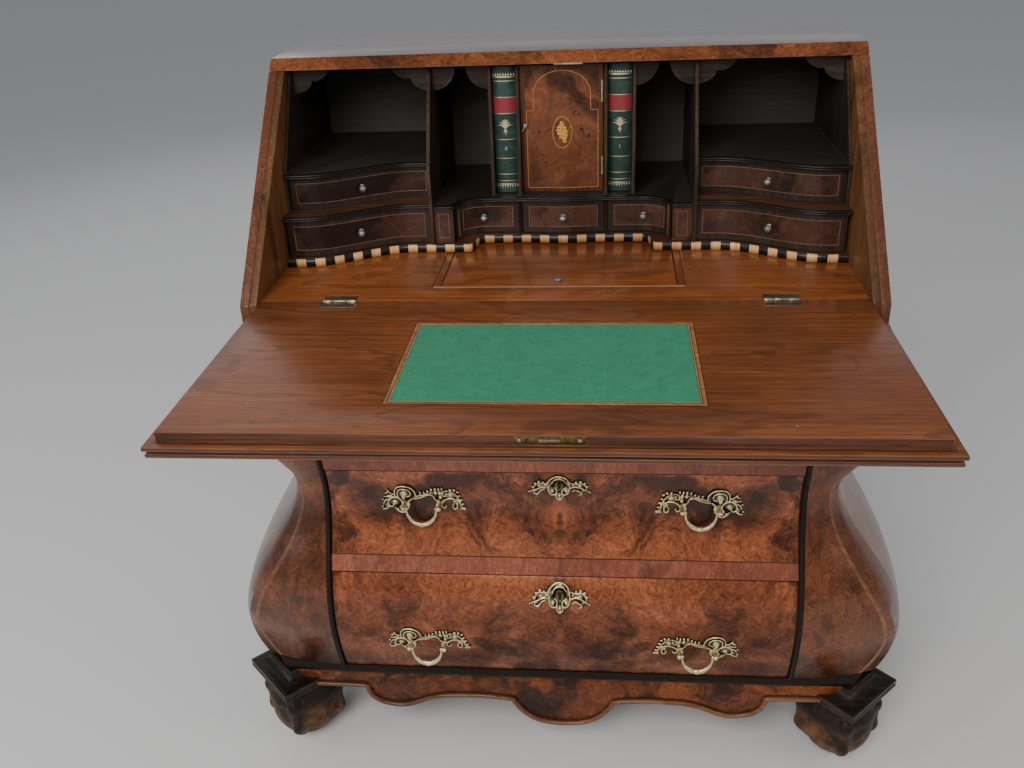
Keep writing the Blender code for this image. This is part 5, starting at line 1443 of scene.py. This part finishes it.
# The stepped gallery stands on a plinth whose front runs in an S to each side and steps back round the well.
# Its front is inlaid with a chequer band of boxwood and ebony squares; its top is a narrow brown ledge.
riser_height, tier_low = 0.013, 0.793
riser_outer_y, riser_inner_y, riser_centre_y = 0.135, 0.195, 0.2365
outer_curve_start, outer_curve_end = 0.38, 0.225
jog_outer, jog_inner = 0.1385, 0.1264
gallery_half, gallery_back, gallery_top = 0.4069, 0.4434, 1.0447
drawer_reveal, tier_setback = 0.009, 0.036
third_partition, centre_bow = 0.0625, 0.0045


def outer_depth(x):
    """Depth of the S-shaped front of the side sections at a half width."""
    share = min(1.0, max(0.0, (outer_curve_start - abs(x)) / (outer_curve_start - outer_curve_end)))
    return riser_outer_y + (riser_inner_y - riser_outer_y) * ease(share)


def bow(x):
    """How far the middle of the gallery swells forward at a half width."""
    return -centre_bow * (1 - ease(min(1.0, abs(x) / third_partition)))


def both_halves(points):
    """A run from the left end to the right end, from its right half given outwards in."""
    return [(-x, y) for x, y in points] + [(x, y) for x, y in reversed(points)]


plinth_half = [(x, outer_depth(x)) for x in spread(gallery_half, jog_outer + 0.004, 40)]
jog_curve = bridged([(jog_outer + 0.001, riser_inner_y + 0.0006), (jog_outer - 0.003, riser_inner_y + 0.007),
                     (jog_inner + 0.003, riser_centre_y - 0.008), (jog_inner - 0.002, riser_centre_y - 0.0008),
                     (jog_inner - 0.007, riser_centre_y)], 5)
bow_run = [(x, riser_centre_y + bow(x)) for x in spread(third_partition, 0.0, 12)]
plinth_path = both_halves(plinth_half + jog_curve + bow_run[:-1])
ledge_walnut = wood(
    "ledge_walnut", (0.02, 0.009, 0.005), (0.08, 0.032, 0.015), (0.14, 0.06, 0.026),
    roughness=0.36, coat=0.15, worn=(0.22, 0.11, 0.055), lines=18.0,
)
plinth_outline = plinth_path + [(gallery_half, gallery_back), (-gallery_half, gallery_back)]
plinth = prism("plinth", plinth_outline, writing_height + fit_gap, tier_low - fit_gap, "z", 0.0, 30)
place("gallery_plinth", plinth, ledge_walnut, "case", "gallery_wood", "gallery_base")

squares_long, band_thick = 0.0142, 0.0011
pale_squares = wood(
    "boxwood_squares", (0.42, 0.19, 0.07), (0.82, 0.45, 0.17), (0.92, 0.59, 0.27),
    roughness=0.32, coat=0.3, lines=30.0, drift=0.8, streaks=0.4, turn=upright,
)
dark_squares = wood(
    "ebony_squares", (0.004, 0.004, 0.0035), (0.013, 0.013, 0.011), (0.026, 0.025, 0.02),
    roughness=0.34, coat=0.2, lines=30.0,
)


def chequer_tree():
    """Geometry nodes: a band along a path, cut into squares of two woods in turn."""
    inputs = {
        "Geometry": "Geometry", "Square": squares_long, "Height": riser_height, "Thickness": band_thick,
        "Dark": "Material", "Pale": "Material",
    }
    tree, given, result = effect("chequer_band", inputs, {"Geometry": "Geometry"}, "GeometryNodeTree")

    def add(kind, inputs=None, **settings):
        return node_in(tree, kind, inputs, "GeometryNode", **settings)

    path = add("MeshToCurve", {"Mesh": given["Geometry"]}).outputs["Curve"]
    step = math_in("DIVIDE", given["Square"], 12.0)
    path = add("ResampleCurve", {"Curve": path, "Length": step}, mode="LENGTH").outputs["Curve"]
    measured = add("SplineParameter").outputs["Length"]
    stored = add("StoreNamedAttribute", {"Geometry": path, "Name": "run", "Value": measured}, data_type="FLOAT")
    profile = {"Width": given["Thickness"], "Height": given["Height"]}
    profile = add("CurvePrimitiveQuadrilateral", profile).outputs["Curve"]
    swept = add("CurveToMesh", {"Curve": stored.outputs["Geometry"], "Profile Curve": profile, "Fill Caps": True})
    run = add("InputNamedAttribute", {"Name": "run"}, data_type="FLOAT").outputs["Attribute"]
    run = add("FieldOnDomain", {"Value": run}, domain="FACE").outputs["Value"]
    number = math_in("FLOOR", math_in("DIVIDE", run, given["Square"]))
    odd = math_in("GREATER_THAN", math_in("MODULO", number, 2.0), 0.5)
    whole = add("RealizeInstances", {"Geometry": swept.outputs["Mesh"]}).outputs["Geometry"]
    dark = add("SetMaterial", {"Geometry": whole, "Material": given["Dark"]}).outputs["Geometry"]
    last = add("SetMaterial", {"Geometry": dark, "Selection": odd, "Material": given["Pale"]})
    tree.links.new(last.outputs["Geometry"], result["Geometry"])
    return tree


def band_length(path):
    return sum((Vector(b) - Vector(a)).length for a, b in zip(path, path[1:]))


band_middle = writing_height + fit_gap + (riser_height - 2 * fit_gap) / 2
chequer_path = [(x, y - 0.0004) for x, y in plinth_path]
squares = round(band_length(chequer_path) / squares_long)
squares += 1 - squares % 2
guide_mesh = bpy.data.meshes.new("chequer_path")
guide_mesh.from_pydata(
    [(x, y, band_middle) for x, y in chequer_path], [(k, k + 1) for k in range(len(chequer_path) - 1)], []
)
work = bpy.data.objects.new("chequer_path", guide_mesh)
bpy.context.scene.collection.objects.link(work)
band = work.modifiers.new("band", "NODES")
band.node_group = chequer_tree()
wanted = {
    "Square": band_length(chequer_path) / squares, "Height": riser_height - 3 * fit_gap, "Thickness": band_thick,
    "Dark": dark_squares, "Pale": pale_squares,
}
for socket in band.node_group.interface.items_tree:
    if socket.in_out == "INPUT" and socket.name in wanted:
        band[socket.identifier] = wanted[socket.name]
band_mesh = bpy.data.meshes.new_from_object(work.evaluated_get(bpy.context.evaluated_depsgraph_get()))
work.modifiers.remove(band)
bpy.data.objects.remove(work)
band_mesh.name = "chequer_band"
shape = bmesh.new()
shape.from_mesh(band_mesh)
bmesh.ops.recalc_face_normals(shape, faces=shape.faces)
shape.to_mesh(band_mesh)
shape.free()
kept = [face.material_index for face in band_mesh.polygons]
band_piece = place("chequer_band", band_mesh, list(band_mesh.materials), "case", "gallery_wood")
band_piece.data.polygons.foreach_set("material_index", kept)

# Pigeonholes: dark partitions with worn front edges, shelves with a black double bead, and a shaped bracket in
# each top corner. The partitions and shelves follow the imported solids.
first_partition, partition, outer_cheek = 0.1925, 0.005, 0.004
lower_shelf, upper_shelf, centre_shelf, shelf_thick = 0.849, 0.904, 0.845, 0.005
concave_start, concave_end, shelf_front = 0.163, 0.115, 0.2455
valance_front, valance_height = 0.27147, 0.038
gallery_dark = wood(
    "gallery_shade", (0.011, 0.0092, 0.0078), (0.024, 0.0195, 0.0158), (0.038, 0.031, 0.024),
    roughness=0.5, coat=0.0, worn=(0.13, 0.08, 0.052), worn_width=0.0022, turn=upright,
)
bracket_wood = wood(
    "bracket_wood", (0.018, 0.0145, 0.012), (0.052, 0.039, 0.031), (0.084, 0.063, 0.05),
    roughness=0.55, coat=0.0, shine=0.15, worn=(0.11, 0.085, 0.07), worn_width=0.0008,
)
worn_edge = wood(
    "worn_partition_edge", (0.012, 0.0075, 0.005), (0.05, 0.028, 0.016), (0.115, 0.066, 0.038),
    roughness=0.5, coat=0.0, shine=0.12, turn=upright, lines=10.0, streaks=0.8,
)
shelf_bead = wood(
    "black_shelf_bead", (0.004, 0.0035, 0.003), (0.011, 0.008, 0.0065), (0.019, 0.014, 0.01),
    roughness=0.34, coat=0.2, worn=(0.105, 0.066, 0.044),
)


def inner_depth(x):
    """Depth of the centre section's front: a block, a quarter-round hollow and a shallow bow."""
    share = min(1.0, max(0.0, (abs(x) - concave_end) / (concave_start - concave_end)))
    near = riser_inner_y + drawer_reveal
    return near + (shelf_front - near) * math.sqrt(1 - share * share) + bow(x)


def section_choice(middle, normal):
    """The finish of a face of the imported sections: bracket, brown ledge, worn front edge or dark inside."""
    at_bracket = abs(middle.y + case_shift - valance_front) < 0.002 and middle.z > gallery_top - valance_height
    if normal.y < -0.9 and at_bracket:
        return 1
    if normal.y < -0.4:
        return 3
    return 2 if normal.z > 0.9 and centre_shelf + 0.006 < middle.z < upper_shelf else 0


for node in ("gallery_section_left", "gallery_section_right", "gallery_centre"):
    mesh = softened(node, 0.0004, 1)
    finishes = [gallery_dark, bracket_wood, ledge_walnut, worn_edge]
    place(node.replace("gallery", "pigeonhole"), mesh, finishes, "case", "gallery_wood", node, shift=False)
    sorted_faces(mesh, section_choice)

bead_profile = (
    (-0.004, -0.0006), (0.0012, -0.0006), (0.0021, -0.0003), (0.0024, 0.0004), (0.002, 0.0011), (0.0013, 0.0015),
    (0.0016, 0.0019), (0.0027, 0.0026), (0.0032, 0.0036), (0.0028, 0.0046), (0.0016, 0.0053), (0.0002, 0.0056),
    (-0.004, 0.0056),
)


def swept(shape, path, profile, height):
    """A moulding along a run of places in plan: the profile is forwards and up."""
    rings = []
    for k, (x, y) in enumerate(path):
        ahead_of = Vector(path[min(k + 1, len(path) - 1)]) - Vector(path[max(k - 1, 0)])
        ahead_of.normalize()
        forward = Vector((ahead_of.y, -ahead_of.x))
        rings.append([(x + forward.x * out, y + forward.y * out, height + rise) for out, rise in profile])
    loft(shape, rings)


side_in, side_out = first_partition + partition, gallery_half - outer_cheek * 0.3
for word, side in (("left", -1), ("right", 1)):
    shape = bmesh.new()
    for height, setback in ((lower_shelf, drawer_reveal / 2), (upper_shelf, tier_setback)):
        path = [(x, outer_depth(x) + setback) for x in spread(side_in, side_out, 36)]
        if side < 0:
            path = [(-x, y) for x, y in reversed(path)]
        swept(shape, path, bead_profile, height)
    place(f"side_shelf_beads_{word}", closed("beads", shape, 60), shelf_bead, "case", "gallery_wood")
shape = bmesh.new()
reach = first_partition - 0.0004
path = [(x, inner_depth(x) - drawer_reveal / 2) for x in spread(-reach, reach, 180)]
swept(shape, path, bead_profile, centre_shelf)
place("centre_shelf_bead", closed("beads", shape, 60), shelf_bead, "case", "gallery_wood")

# The small drawers follow those curves. Each front is cross-banded in dark veneer round a burr panel, with a
# fine boxwood line between them, and has a turned pewter knob. The box behind it is of plain wood.
front_board_small, box_wall, small_back, small_clear = 0.01, 0.005, 0.4334, 0.0008
string_inset, string_width, veneer_proud = 0.009, 0.0009, 0.0003
small_burr = burr_wood(
    "small_drawer_burr", (0.013, 0.0065, 0.005), (0.052, 0.022, 0.0145), (0.112, 0.045, 0.027),
    roughness=0.34, coat=0.2, clouds=0.85, size=1.3, crackle=0.45,
)
small_band = wood(
    "small_drawer_banding", (0.009, 0.0062, 0.005), (0.031, 0.019, 0.0145), (0.058, 0.036, 0.026),
    roughness=0.36, coat=0.15, lines=50.0, turn=upright, worn=(0.075, 0.045, 0.03),
    worn_width=0.0007,
)
string_wood = wood(
    "fine_boxwood_string", (0.1, 0.05, 0.025), (0.24, 0.125, 0.062), (0.34, 0.19, 0.1),
    roughness=0.45, coat=0.1, lines=60.0,
)
knob_profile = (
    (-0.0006, 0.0042), (0.0006, 0.0042), (0.0012, 0.0034), (0.0016, 0.002), (0.0042, 0.0017), (0.0054, 0.0024),
    (0.0066, 0.004), (0.0084, 0.0052), (0.0104, 0.0055), (0.0124, 0.005), (0.0142, 0.0035), (0.015, 0.002),
    (0.0153, 0.0005),
)


def face_patch(shape, line, x_low, x_high, z_low, z_high, proud=0.0003, depth=0.0006, columns=40):
    """A thin veneer on a front whose depth changes with x: line gives that depth."""
    rings = []
    for x in spread(x_low, x_high, columns):
        near = line(x) - proud
        rings.append([(x, near, z_low), (x, near, z_high), (x, near + depth, z_high), (x, near + depth, z_low)])
    loft(shape, rings)


def veneer(name, line, *bounds, degrees=40, **settings):
    """One thin veneer as a closed mesh."""
    shape = bmesh.new()
    face_patch(shape, line, *bounds, **settings)
    return closed(name, shape, degrees)


def face_frame(name, line, x_low, x_high, z_low, z_high, width, proud=0.0003):
    """Four veneers round a rectangle, as wide as is asked, inside its bounds."""
    shape = bmesh.new()
    face_patch(shape, line, x_low, x_low + width, z_low, z_high, proud, columns=16)
    face_patch(shape, line, x_high - width, x_high, z_low, z_high, proud, columns=16)
    face_patch(shape, line, x_low + width, x_high - width, z_low, z_low + width, proud)
    face_patch(shape, line, x_low + width, x_high - width, z_high - width, z_high, proud)
    return closed(name, shape, 40, weld=1e-7)


def small_drawer(word, line, x_low, x_high, z_low, z_high, knob_x):
    body = f"small_drawer_{word}"
    board_mesh = veneer("front", line, x_low, x_high, z_low, z_high, proud=0.0, depth=front_board_small)
    place(f"{body}_board", board_mesh, small_band, body, "gallery_wood", body)
    inside = [(x, line(x) + 0.0085) for x in spread(x_low + 0.003, x_high - 0.003, 24)]
    floor_plan = inside + [(x_high - 0.003, small_back - 0.001), (x_low + 0.003, small_back - 0.001)]
    sides = [
        slab("side", (x_low, line(x_low) + 0.008, z_low), (x_low + box_wall, small_back, z_high)),
        slab("side", (x_high - box_wall, line(x_high) + 0.008, z_low), (x_high, small_back, z_high)),
        slab("back", (x_low + box_wall, small_back - box_wall, z_low), (x_high - box_wall, small_back, z_high)),
        prism("bottom", floor_plan, z_low + 0.0005, z_low + 0.004, "z"),
    ]
    place(f"{body}_box", united("box", sides), carcass_wood, body, "carcass_wood")
    inset = string_inset
    banding = face_frame("banding", line, x_low, x_high, z_low, z_high, inset)
    place(f"{body}_banding", banding, small_band, body, "burr_walnut")
    bounds = (x_low + inset, x_high - inset, z_low + inset, z_high - inset)
    place(f"{body}_panel", veneer("panel", line, *bounds, proud=veneer_proud), small_burr, body, "burr_walnut")
    string = face_frame("string", line, *bounds, string_width, veneer_proud + 0.00012)
    place(f"{body}_string", string, string_wood, body, "gallery_wood")
    slope = (line(knob_x + 0.001) - line(knob_x - 0.001)) / 0.002
    centre = (knob_x, line(knob_x), (z_low + z_high) / 2)
    pull = knob("knob", centre, (slope * 0.5, -1, 0), knob_profile, 18)
    place(f"{body}_knob", pull, pewter, body, "aged_brass")


tiers = (
    ("lower", drawer_reveal, tier_low + small_clear, lower_shelf - small_clear),
    ("upper", tier_setback + drawer_reveal, lower_shelf + shelf_thick + small_clear, upper_shelf - small_clear),
)
for side, word in both_sides:
    ends = (side_in + small_clear, gallery_half - outer_cheek - small_clear)
    for tier, setback, low, high in tiers:
        small_drawer(
            f"{tier}_{word}", lambda x, set_in=setback: outer_depth(x) + set_in, *sorted(side * e for e in ends),
            low,
            high, side * sum(ends) / 2,
        )
    ends = (third_partition + partition + small_clear, concave_start - small_clear)
    knob_x = (ends[0] + concave_end) / 2 + 0.031
    small_drawer(
        f"inner_{word}", lambda x: inner_depth(x) + drawer_reveal / 4, *sorted(side * e for e in ends),
        tier_low + small_clear, centre_shelf - small_clear, side * knob_x,
    )
half = third_partition - small_clear
small_drawer("centre", inner_depth, -half, half, tier_low + small_clear, centre_shelf - small_clear, 0.0)

# Each end block beside them is inlaid with a string round a little burr panel
block_inset, block_string = 0.0062, 0.0009
for side, word in both_sides:
    low, high = sorted((side * (concave_start + 0.0005), side * (first_partition - 0.0005)))
    block_line = riser_inner_y + drawer_reveal / 2
    bounds = (low + block_inset, high - block_inset, tier_low + 0.008, centre_shelf - 0.006)
    leaf = veneer(
        "veneer", lambda x: block_line, low, high, tier_low + 0.0005, centre_shelf - 0.0016, degrees=35, columns=2
    )
    place(f"end_block_veneer_{word}", leaf, small_burr, "case", "burr_walnut")
    string = face_frame("string", lambda x: block_line, *bounds, block_string, 0.0005)
    place(f"end_block_string_{word}", string, string_wood, "case", "gallery_wood")

# The cupboard door: a slightly bowed panel of burr with a cross-banded edge, a boxwood string in the shape of a
# tombstone and an oval medallion with a shell in shaded boxwood. It hangs on two brass hinges at its right edge.
door_half, door_low, door_high, door_y, door_thick = 0.0617, 0.8508, 1.0389, 0.27047, 0.01
door_bow, door_band, door_flat, pin_round = 0.003, 0.0068, 0.034, 0.0022
string_side, string_foot, arch_half, arch_rise = 0.0084, 0.0062, 0.0424, 0.034
shoulder_height_door, spring_height, door_string = 0.974, 0.9977, 0.0012
# The burr darkens towards the door's foot as painted shade
door_burr = burr_wood(
    "door_burr", (0.026, 0.0095, 0.006), (0.15, 0.047, 0.021), (0.3, 0.102, 0.041), coat=0.5, clouds=0.9, size=0.7,
    crackle=0.4, sooty=(0.955, 0.86, 0.42),
)
door_banding = wood(
    "door_banding", (0.03, 0.01, 0.005), (0.13, 0.043, 0.014), (0.26, 0.092, 0.026),
    roughness=0.3, lines=46.0, wander=1.2, drift=0.6, turn=upright,
    worn=(0.1, 0.05, 0.03), worn_width=0.0008,
)
orange_string = wood(
    "orange_boxwood_string", (0.26, 0.095, 0.028), (0.6, 0.235, 0.065), (0.76, 0.35, 0.12),
    roughness=0.36, coat=0.2, lines=60.0,
)
shell_wood = wood(
    "shell_boxwood", (0.6, 0.22, 0.035), (0.92, 0.43, 0.085), (1.0, 0.58, 0.16),
    roughness=0.34, coat=0.3, lines=80.0,
)
scorched_wood = wood(
    "scorched_boxwood", (0.055, 0.018, 0.007), (0.16, 0.055, 0.017), (0.3, 0.115, 0.035),
    roughness=0.36, coat=0.3, lines=60.0,
)


def door_depth(x):
    """Depth of the door's face: a shallow bow, a flat edge beside the pins and a round about them."""
    past_pin = min(pin_round, max(0.0, x - door_half + pin_round))
    rounding = pin_round - math.sqrt(pin_round ** 2 - past_pin ** 2)
    return door_y + rounding - door_bow * max(0.0, 1 - (x / door_flat) ** 2) ** 1.5


def inlaid_line(shape, line, path, width, proud, taper=False, ring=False):
    """A flat strip let into a front along places in x and z, tapered to its ends or joined to a ring."""
    rings = []
    last = len(path) - 1
    for k, (x, z) in enumerate(path):
        before, after = path[max(k - 1, 0)], path[min(k + 1, last)]
        if ring:
            before, after = path[k - 1], path[(k + 1) % (last + 1)]
        along_it = (Vector(after) - Vector(before)).normalized()
        half = width / 2
        if taper:
            half *= max(0.12, math.sin(math.pi * min(1.0, 0.2 + 0.8 * k / last)))
        side = Vector((-along_it.y, along_it.x)) * half
        pairs = [(x + side.x, z + side.y), (x - side.x, z - side.y)]
        front = [(px, line(px) - proud, pz) for px, pz in pairs]
        back = [(px, y + 0.0006, pz) for px, y, pz in reversed(front)]
        rings.append(front + back)
    if ring:
        rings.append(rings[0])
    loft(shape, rings, ends=not ring)


shape = bmesh.new()
face_patch(shape, door_depth, -door_half, door_half - pin_round, door_low, door_high, 0.0, door_thick, 24)
pin_centre = (door_half - pin_round, door_y + pin_round, door_low)
turned(shape, pin_centre, (0, 0, 1), ((0.0, pin_round), (door_high - door_low, pin_round)), 24)
place("door_board", closed("door", shape, 40), door_burr, "cupboard_door", "burr_walnut", "cupboard_door")
banding_mesh = face_frame(
    "banding", door_depth, -door_half, door_half - pin_round * 0.03, door_low, door_high, door_band
)
place("door_banding", banding_mesh, door_banding, "cupboard_door", "burr_walnut")
inner = (-door_half + door_band, door_half - door_band, door_low + door_band, door_high - door_band)
place("door_panel", veneer("panel", door_depth, *inner), door_burr, "cupboard_door", "burr_walnut")
side_x, foot_z = door_half - string_side, door_low + string_foot
arch = [
    (arch_half * math.cos(a), spring_height + arch_rise * math.sin(a))
    for a in [math.pi * k / 30 for k in range(31)]
]
corners_of_string = [
    [(-side_x, foot_z), (side_x, foot_z)], [(side_x, foot_z), (side_x, shoulder_height_door)],
    [(side_x, shoulder_height_door), (arch_half, shoulder_height_door)],
    [(arch_half, shoulder_height_door)] + arch + [(-arch_half, shoulder_height_door)],
    [(-arch_half, shoulder_height_door), (-side_x, shoulder_height_door)],
    [(-side_x, shoulder_height_door), (-side_x, foot_z)],
]
shape = bmesh.new()
for run in corners_of_string:
    points = []
    for (ax, az), (bx, bz) in zip(run, run[1:]):
        steps = 24 if abs(bx - ax) > 0.02 else 2
        points += [(ax + (bx - ax) * k / steps, az + (bz - az) * k / steps) for k in range(steps)]
    inlaid_line(shape, door_depth, points + [run[-1]], door_string, 0.00042)
place("door_string", closed("string", shape, 40, weld=1e-7), orange_string, "cupboard_door", "gallery_wood")

# The medallion: a light ring round a scorched ground, and a shell of lobes fanned out from its foot
medal_z, medal_half, medal_tall, ring_wide = 0.9417, 0.0142, 0.0232, 0.0016
round_angles = [2 * math.pi * k / 48 for k in range(48)]
oval = [(medal_half * math.cos(a), medal_z + medal_tall * math.sin(a)) for a in round_angles]
ground = lofted("ground", [[(x, door_depth(x) - out, z) for x, z in oval] for out in (-0.0004, 0.00038)], 50)
place("medallion_ground", ground, scorched_wood, "cupboard_door", "gallery_wood")
shape = bmesh.new()
inlaid_line(shape, door_depth, oval, ring_wide, 0.0005, ring=True)
place("medallion_ring", closed("ring", shape, 50, weld=1e-7), orange_string, "cupboard_door", "gallery_wood")
shell_lobes = (
    (-1.0, 14.0, 2.6, 2.4), (-2.4, 10.6, 3.0, 2.2), (1.2, 10.4, 2.2, 2.6), (-5.0, 6.8, 3.2, 2.4),
    (-0.6, 6.6, 2.7, 2.6), (3.6, 5.8, 2.6, 2.9), (-6.6, 2.6, 2.5, 2.6), (-2.6, 2.4, 2.4, 3.0), (1.6, 1.2, 2.3, 3.2),
    (5.8, 0.6, 2.3, 3.6), (-5.2, -2.0, 2.3, 3.0), (-1.4, -3.2, 2.2, 3.4), (2.4, -4.2, 2.2, 3.8),
    (6.2, -5.0, 1.9, 3.6), (-3.0, -7.2, 1.9, 2.8), (0.6, -8.8, 1.9, 3.2), (4.2, -10.0, 1.9, 3.6),
    (2.2, -13.4, 1.6, 2.6), (4.8, -14.6, 1.2, 2.0),
)
shape, shading = bmesh.new(), bmesh.new()
for across_it, up_it, wide, tall in shell_lobes:
    x, z = across_it * millimetre, medal_z + up_it * millimetre
    blob(shape, (x, door_depth(x) - 0.0003, z), (wide * millimetre, 0.0008, tall * millimetre), 14, 8)
    curve = [
        (x + 0.55 * wide * millimetre * math.cos(a), z - 0.55 * tall * millimetre * math.sin(a))
        for a in spread(0.3, 2.6, 8)
    ]
    inlaid_line(shading, door_depth, curve, 0.0005, 0.00118, taper=True)
place("medallion_shell", closed("shell", shape, 50), shell_wood, "cupboard_door", "gallery_wood")
place(
    "medallion_shading", closed("shading", shading, 50, weld=1e-7), scorched_wood, "cupboard_door", "gallery_wood"
)

# The door's two hinges and its latch
hinge_brass = metal("pale_hinge_brass", (0.28, 0.21, 0.1), (0.78, 0.66, 0.4), 0.3, 0.5, 150.0)
hinge_spans = ((0.9846, 1.0167), (0.876, 0.905))
knuckle_wide, knuckle_end, knuckle_gap = 0.0029, 0.0026, 0.0002
shape = bmesh.new()
for low, high in hinge_spans:
    knuckles = spread(low, high, 3)
    for a, b in zip(knuckles, knuckles[1:]):
        long = b - a - 2 * knuckle_gap
        knuckle = (
            (0.0, knuckle_end), (knuckle_gap, knuckle_wide), (long - knuckle_gap, knuckle_wide), (long, knuckle_end)
        )
        turned(shape, (*pin_centre[:2], a + knuckle_gap), (0, 0, 1), knuckle, 18)
place("door_hinges", closed("hinges", shape, 40), hinge_brass, "cupboard_door", "aged_brass")
latch_x, latch_z = -0.0557, 0.9509
shape = bmesh.new()
latch_profile = (
    (-0.0005, 0.003), (0.0006, 0.003), (0.001, 0.0018), (0.005, 0.0015), (0.0062, 0.002), (0.0066, 0.0006)
)
turned(shape, (latch_x, door_depth(latch_x), latch_z), (0, -1, 0), latch_profile, 14)
tongue = [
    (latch_x + 0.004 * s, door_depth(latch_x) - 0.0058, latch_z + 0.0062 * s, 0.0016 - 0.0005 * abs(s))
    for s in spread(-1, 1, 8)
]
strand(shape, tongue, 10)
place("door_latch", closed("latch", shape, 50), pewter, "cupboard_door", "aged_brass")

# Secret boxes behind false book spines of green leather: gilt rules, fringes and a palm leaf, and a red label.
# Each spine is rounded; its lettering is left off.
book_near, book_far, book_back, spine_round = 0.0683, 0.1032, 0.4334, 0.0052
leather, tree, shader, spot, _ = opened("green_leather_spine")
scuffs = ramp_in(cloud_in(spot, 55.0, 6.0, 0.7), 0.42, 0.68)
tone = blend_in(scuffs, (0.019, 0.046, 0.038), (0.042, 0.086, 0.07))
edge = node_in(tree, "Group", {"Vector": spot}, node_tree=bpy.data.node_groups["rubbed_edges"])
tone = blend_in(times(edge.outputs["Rubbed"], 0.5), tone, (0.12, 0.13, 0.1))
shader.inputs["Roughness"].default_value = 0.48
pebbles = node_in(tree, "TexVoronoi", {"Vector": spot, "Scale": 900.0}).outputs["Distance"]
surfaced(tree, shader, tone, pebbles)
gilding = metal("gilt_tooling", (0.46, 0.34, 0.15), (0.95, 0.87, 0.6), 0.38, 0.45, 420.0)
label_leather = plain_finish("red_label_leather", (0.32, 0.033, 0.05), 0.45)
rule_shares = (0.111, 0.236, 0.362, 0.568, 0.72, 0.85, 0.905)
label_shares, rule_thick = (0.241, 0.357), 0.0012
fringe_shares = ((0.085, 0.045), (0.926, 0.972))
palm_share, numeral_share = 0.47, 0.64
palm_rays = ((0.0, 0.015, 0.0022), (0.0046, 0.0138, 0.0022), (0.0086, 0.0108, 0.0025), (0.0122, 0.0072, 0.0024))
palm_stems = ((0.0, 0.0085, 0.0024), (0.0032, 0.0048, 0.0016))


def book_line(middle, half):
    """The rounded front of a spine, a little flatter in the middle."""
    return lambda x: door_y - 0.0008 + spine_round * min(1.0, abs((x - middle) / half)) ** 2.4


for side, word in both_sides:
    body = f"book_box_{word}"
    low, high = sorted((side * book_near, side * book_far))
    middle, half = (low + high) / 2, (high - low) / 2
    line = book_line(middle, half)
    tall = door_high - door_low
    spine = veneer("spine", line, low, high, door_low, door_high, proud=0.0, depth=0.009, columns=30)
    place(f"{body}_spine", spine, leather, body, "green_leather", body)
    wall = low if side > 0 else high - box_wall
    sides = [slab("board", (wall, door_y + 0.006, door_low), (wall + box_wall, book_back, door_high))]
    for a, b in ((door_low, door_low + box_wall), (door_high - box_wall, door_high)):
        sides.append(slab("board", (low + 0.0004, door_y + 0.009, a), (high - 0.0004, book_back, b)))
    rear_low = (low + 0.0004, book_back - box_wall, door_low + 0.001)
    rear_high = (high - 0.0004, book_back, door_high - 0.001)
    sides.append(slab("board", rear_low, rear_high))
    place(f"{body}_boards", united("boards", sides), carcass_wood, body, "carcass_wood")
    shape = bmesh.new()
    for share in rule_shares:
        z = door_high - tall * share
        face_patch(shape, line, low + 0.0003, high - 0.0003, z - rule_thick / 2, z + rule_thick / 2, 0.0003)
    for root, tip in fringe_shares:
        root_z, tip_z = door_high - tall * root, door_high - tall * tip
        near, far = sorted((root_z, root_z + (tip_z - root_z) * 0.28))
        face_patch(shape, line, low + 0.0003, high - 0.0003, near, far, 0.0003)
        for x in spread(low + 0.0022, high - 0.0022, 8):
            blob(shape, (x, line(x), root_z + (tip_z - root_z) * 0.52), (0.0015, 0.0005, 0.0015), 8, 6)
            inlaid_line(
                shape, line, [(x, root_z + (tip_z - root_z) * s) for s in (0.2, 0.6, 1.0)], 0.001, 0.0003,
                taper=True
            )
    palm_z = door_high - tall * palm_share
    for way in (-1, 1):
        for spread_out, rise, wide in palm_rays:
            ray = [
                (
                    middle + way * spread_out * t ** 1.5,
                    palm_z - 0.003 + rise * math.sin(1.75 * t) - 0.1 * spread_out * t ** 3
                )
                for t in spread(0.0, 1.0, 9)
            ]
            inlaid_line(shape, line, ray, wide, 0.0003, taper=True)
        for spread_out, drop, wide in palm_stems:
            ray = [(middle + way * spread_out * t, palm_z - 0.003 - drop * t) for t in spread(0.0, 1.0, 6)]
            inlaid_line(shape, line, ray, wide, 0.0003, taper=True)
    numeral_z = door_high - tall * numeral_share
    for x in (middle - 0.0011, middle + 0.0011) if side < 0 else (middle,):
        inlaid_line(shape, line, [(x, numeral_z - 0.0028), (x, numeral_z + 0.0028)], 0.0009, 0.0003)
    place(f"{body}_gilding", closed("gilding", shape, 50, weld=1e-7), gilding, body, "green_leather")
    label_low, label_high = (door_high - tall * share for share in reversed(label_shares))
    label = veneer("label", line, low + 0.0003, high - 0.0003, label_low, label_high, proud=0.00025, degrees=50)
    place(f"{body}_label", label, label_leather, body, "green_leather")
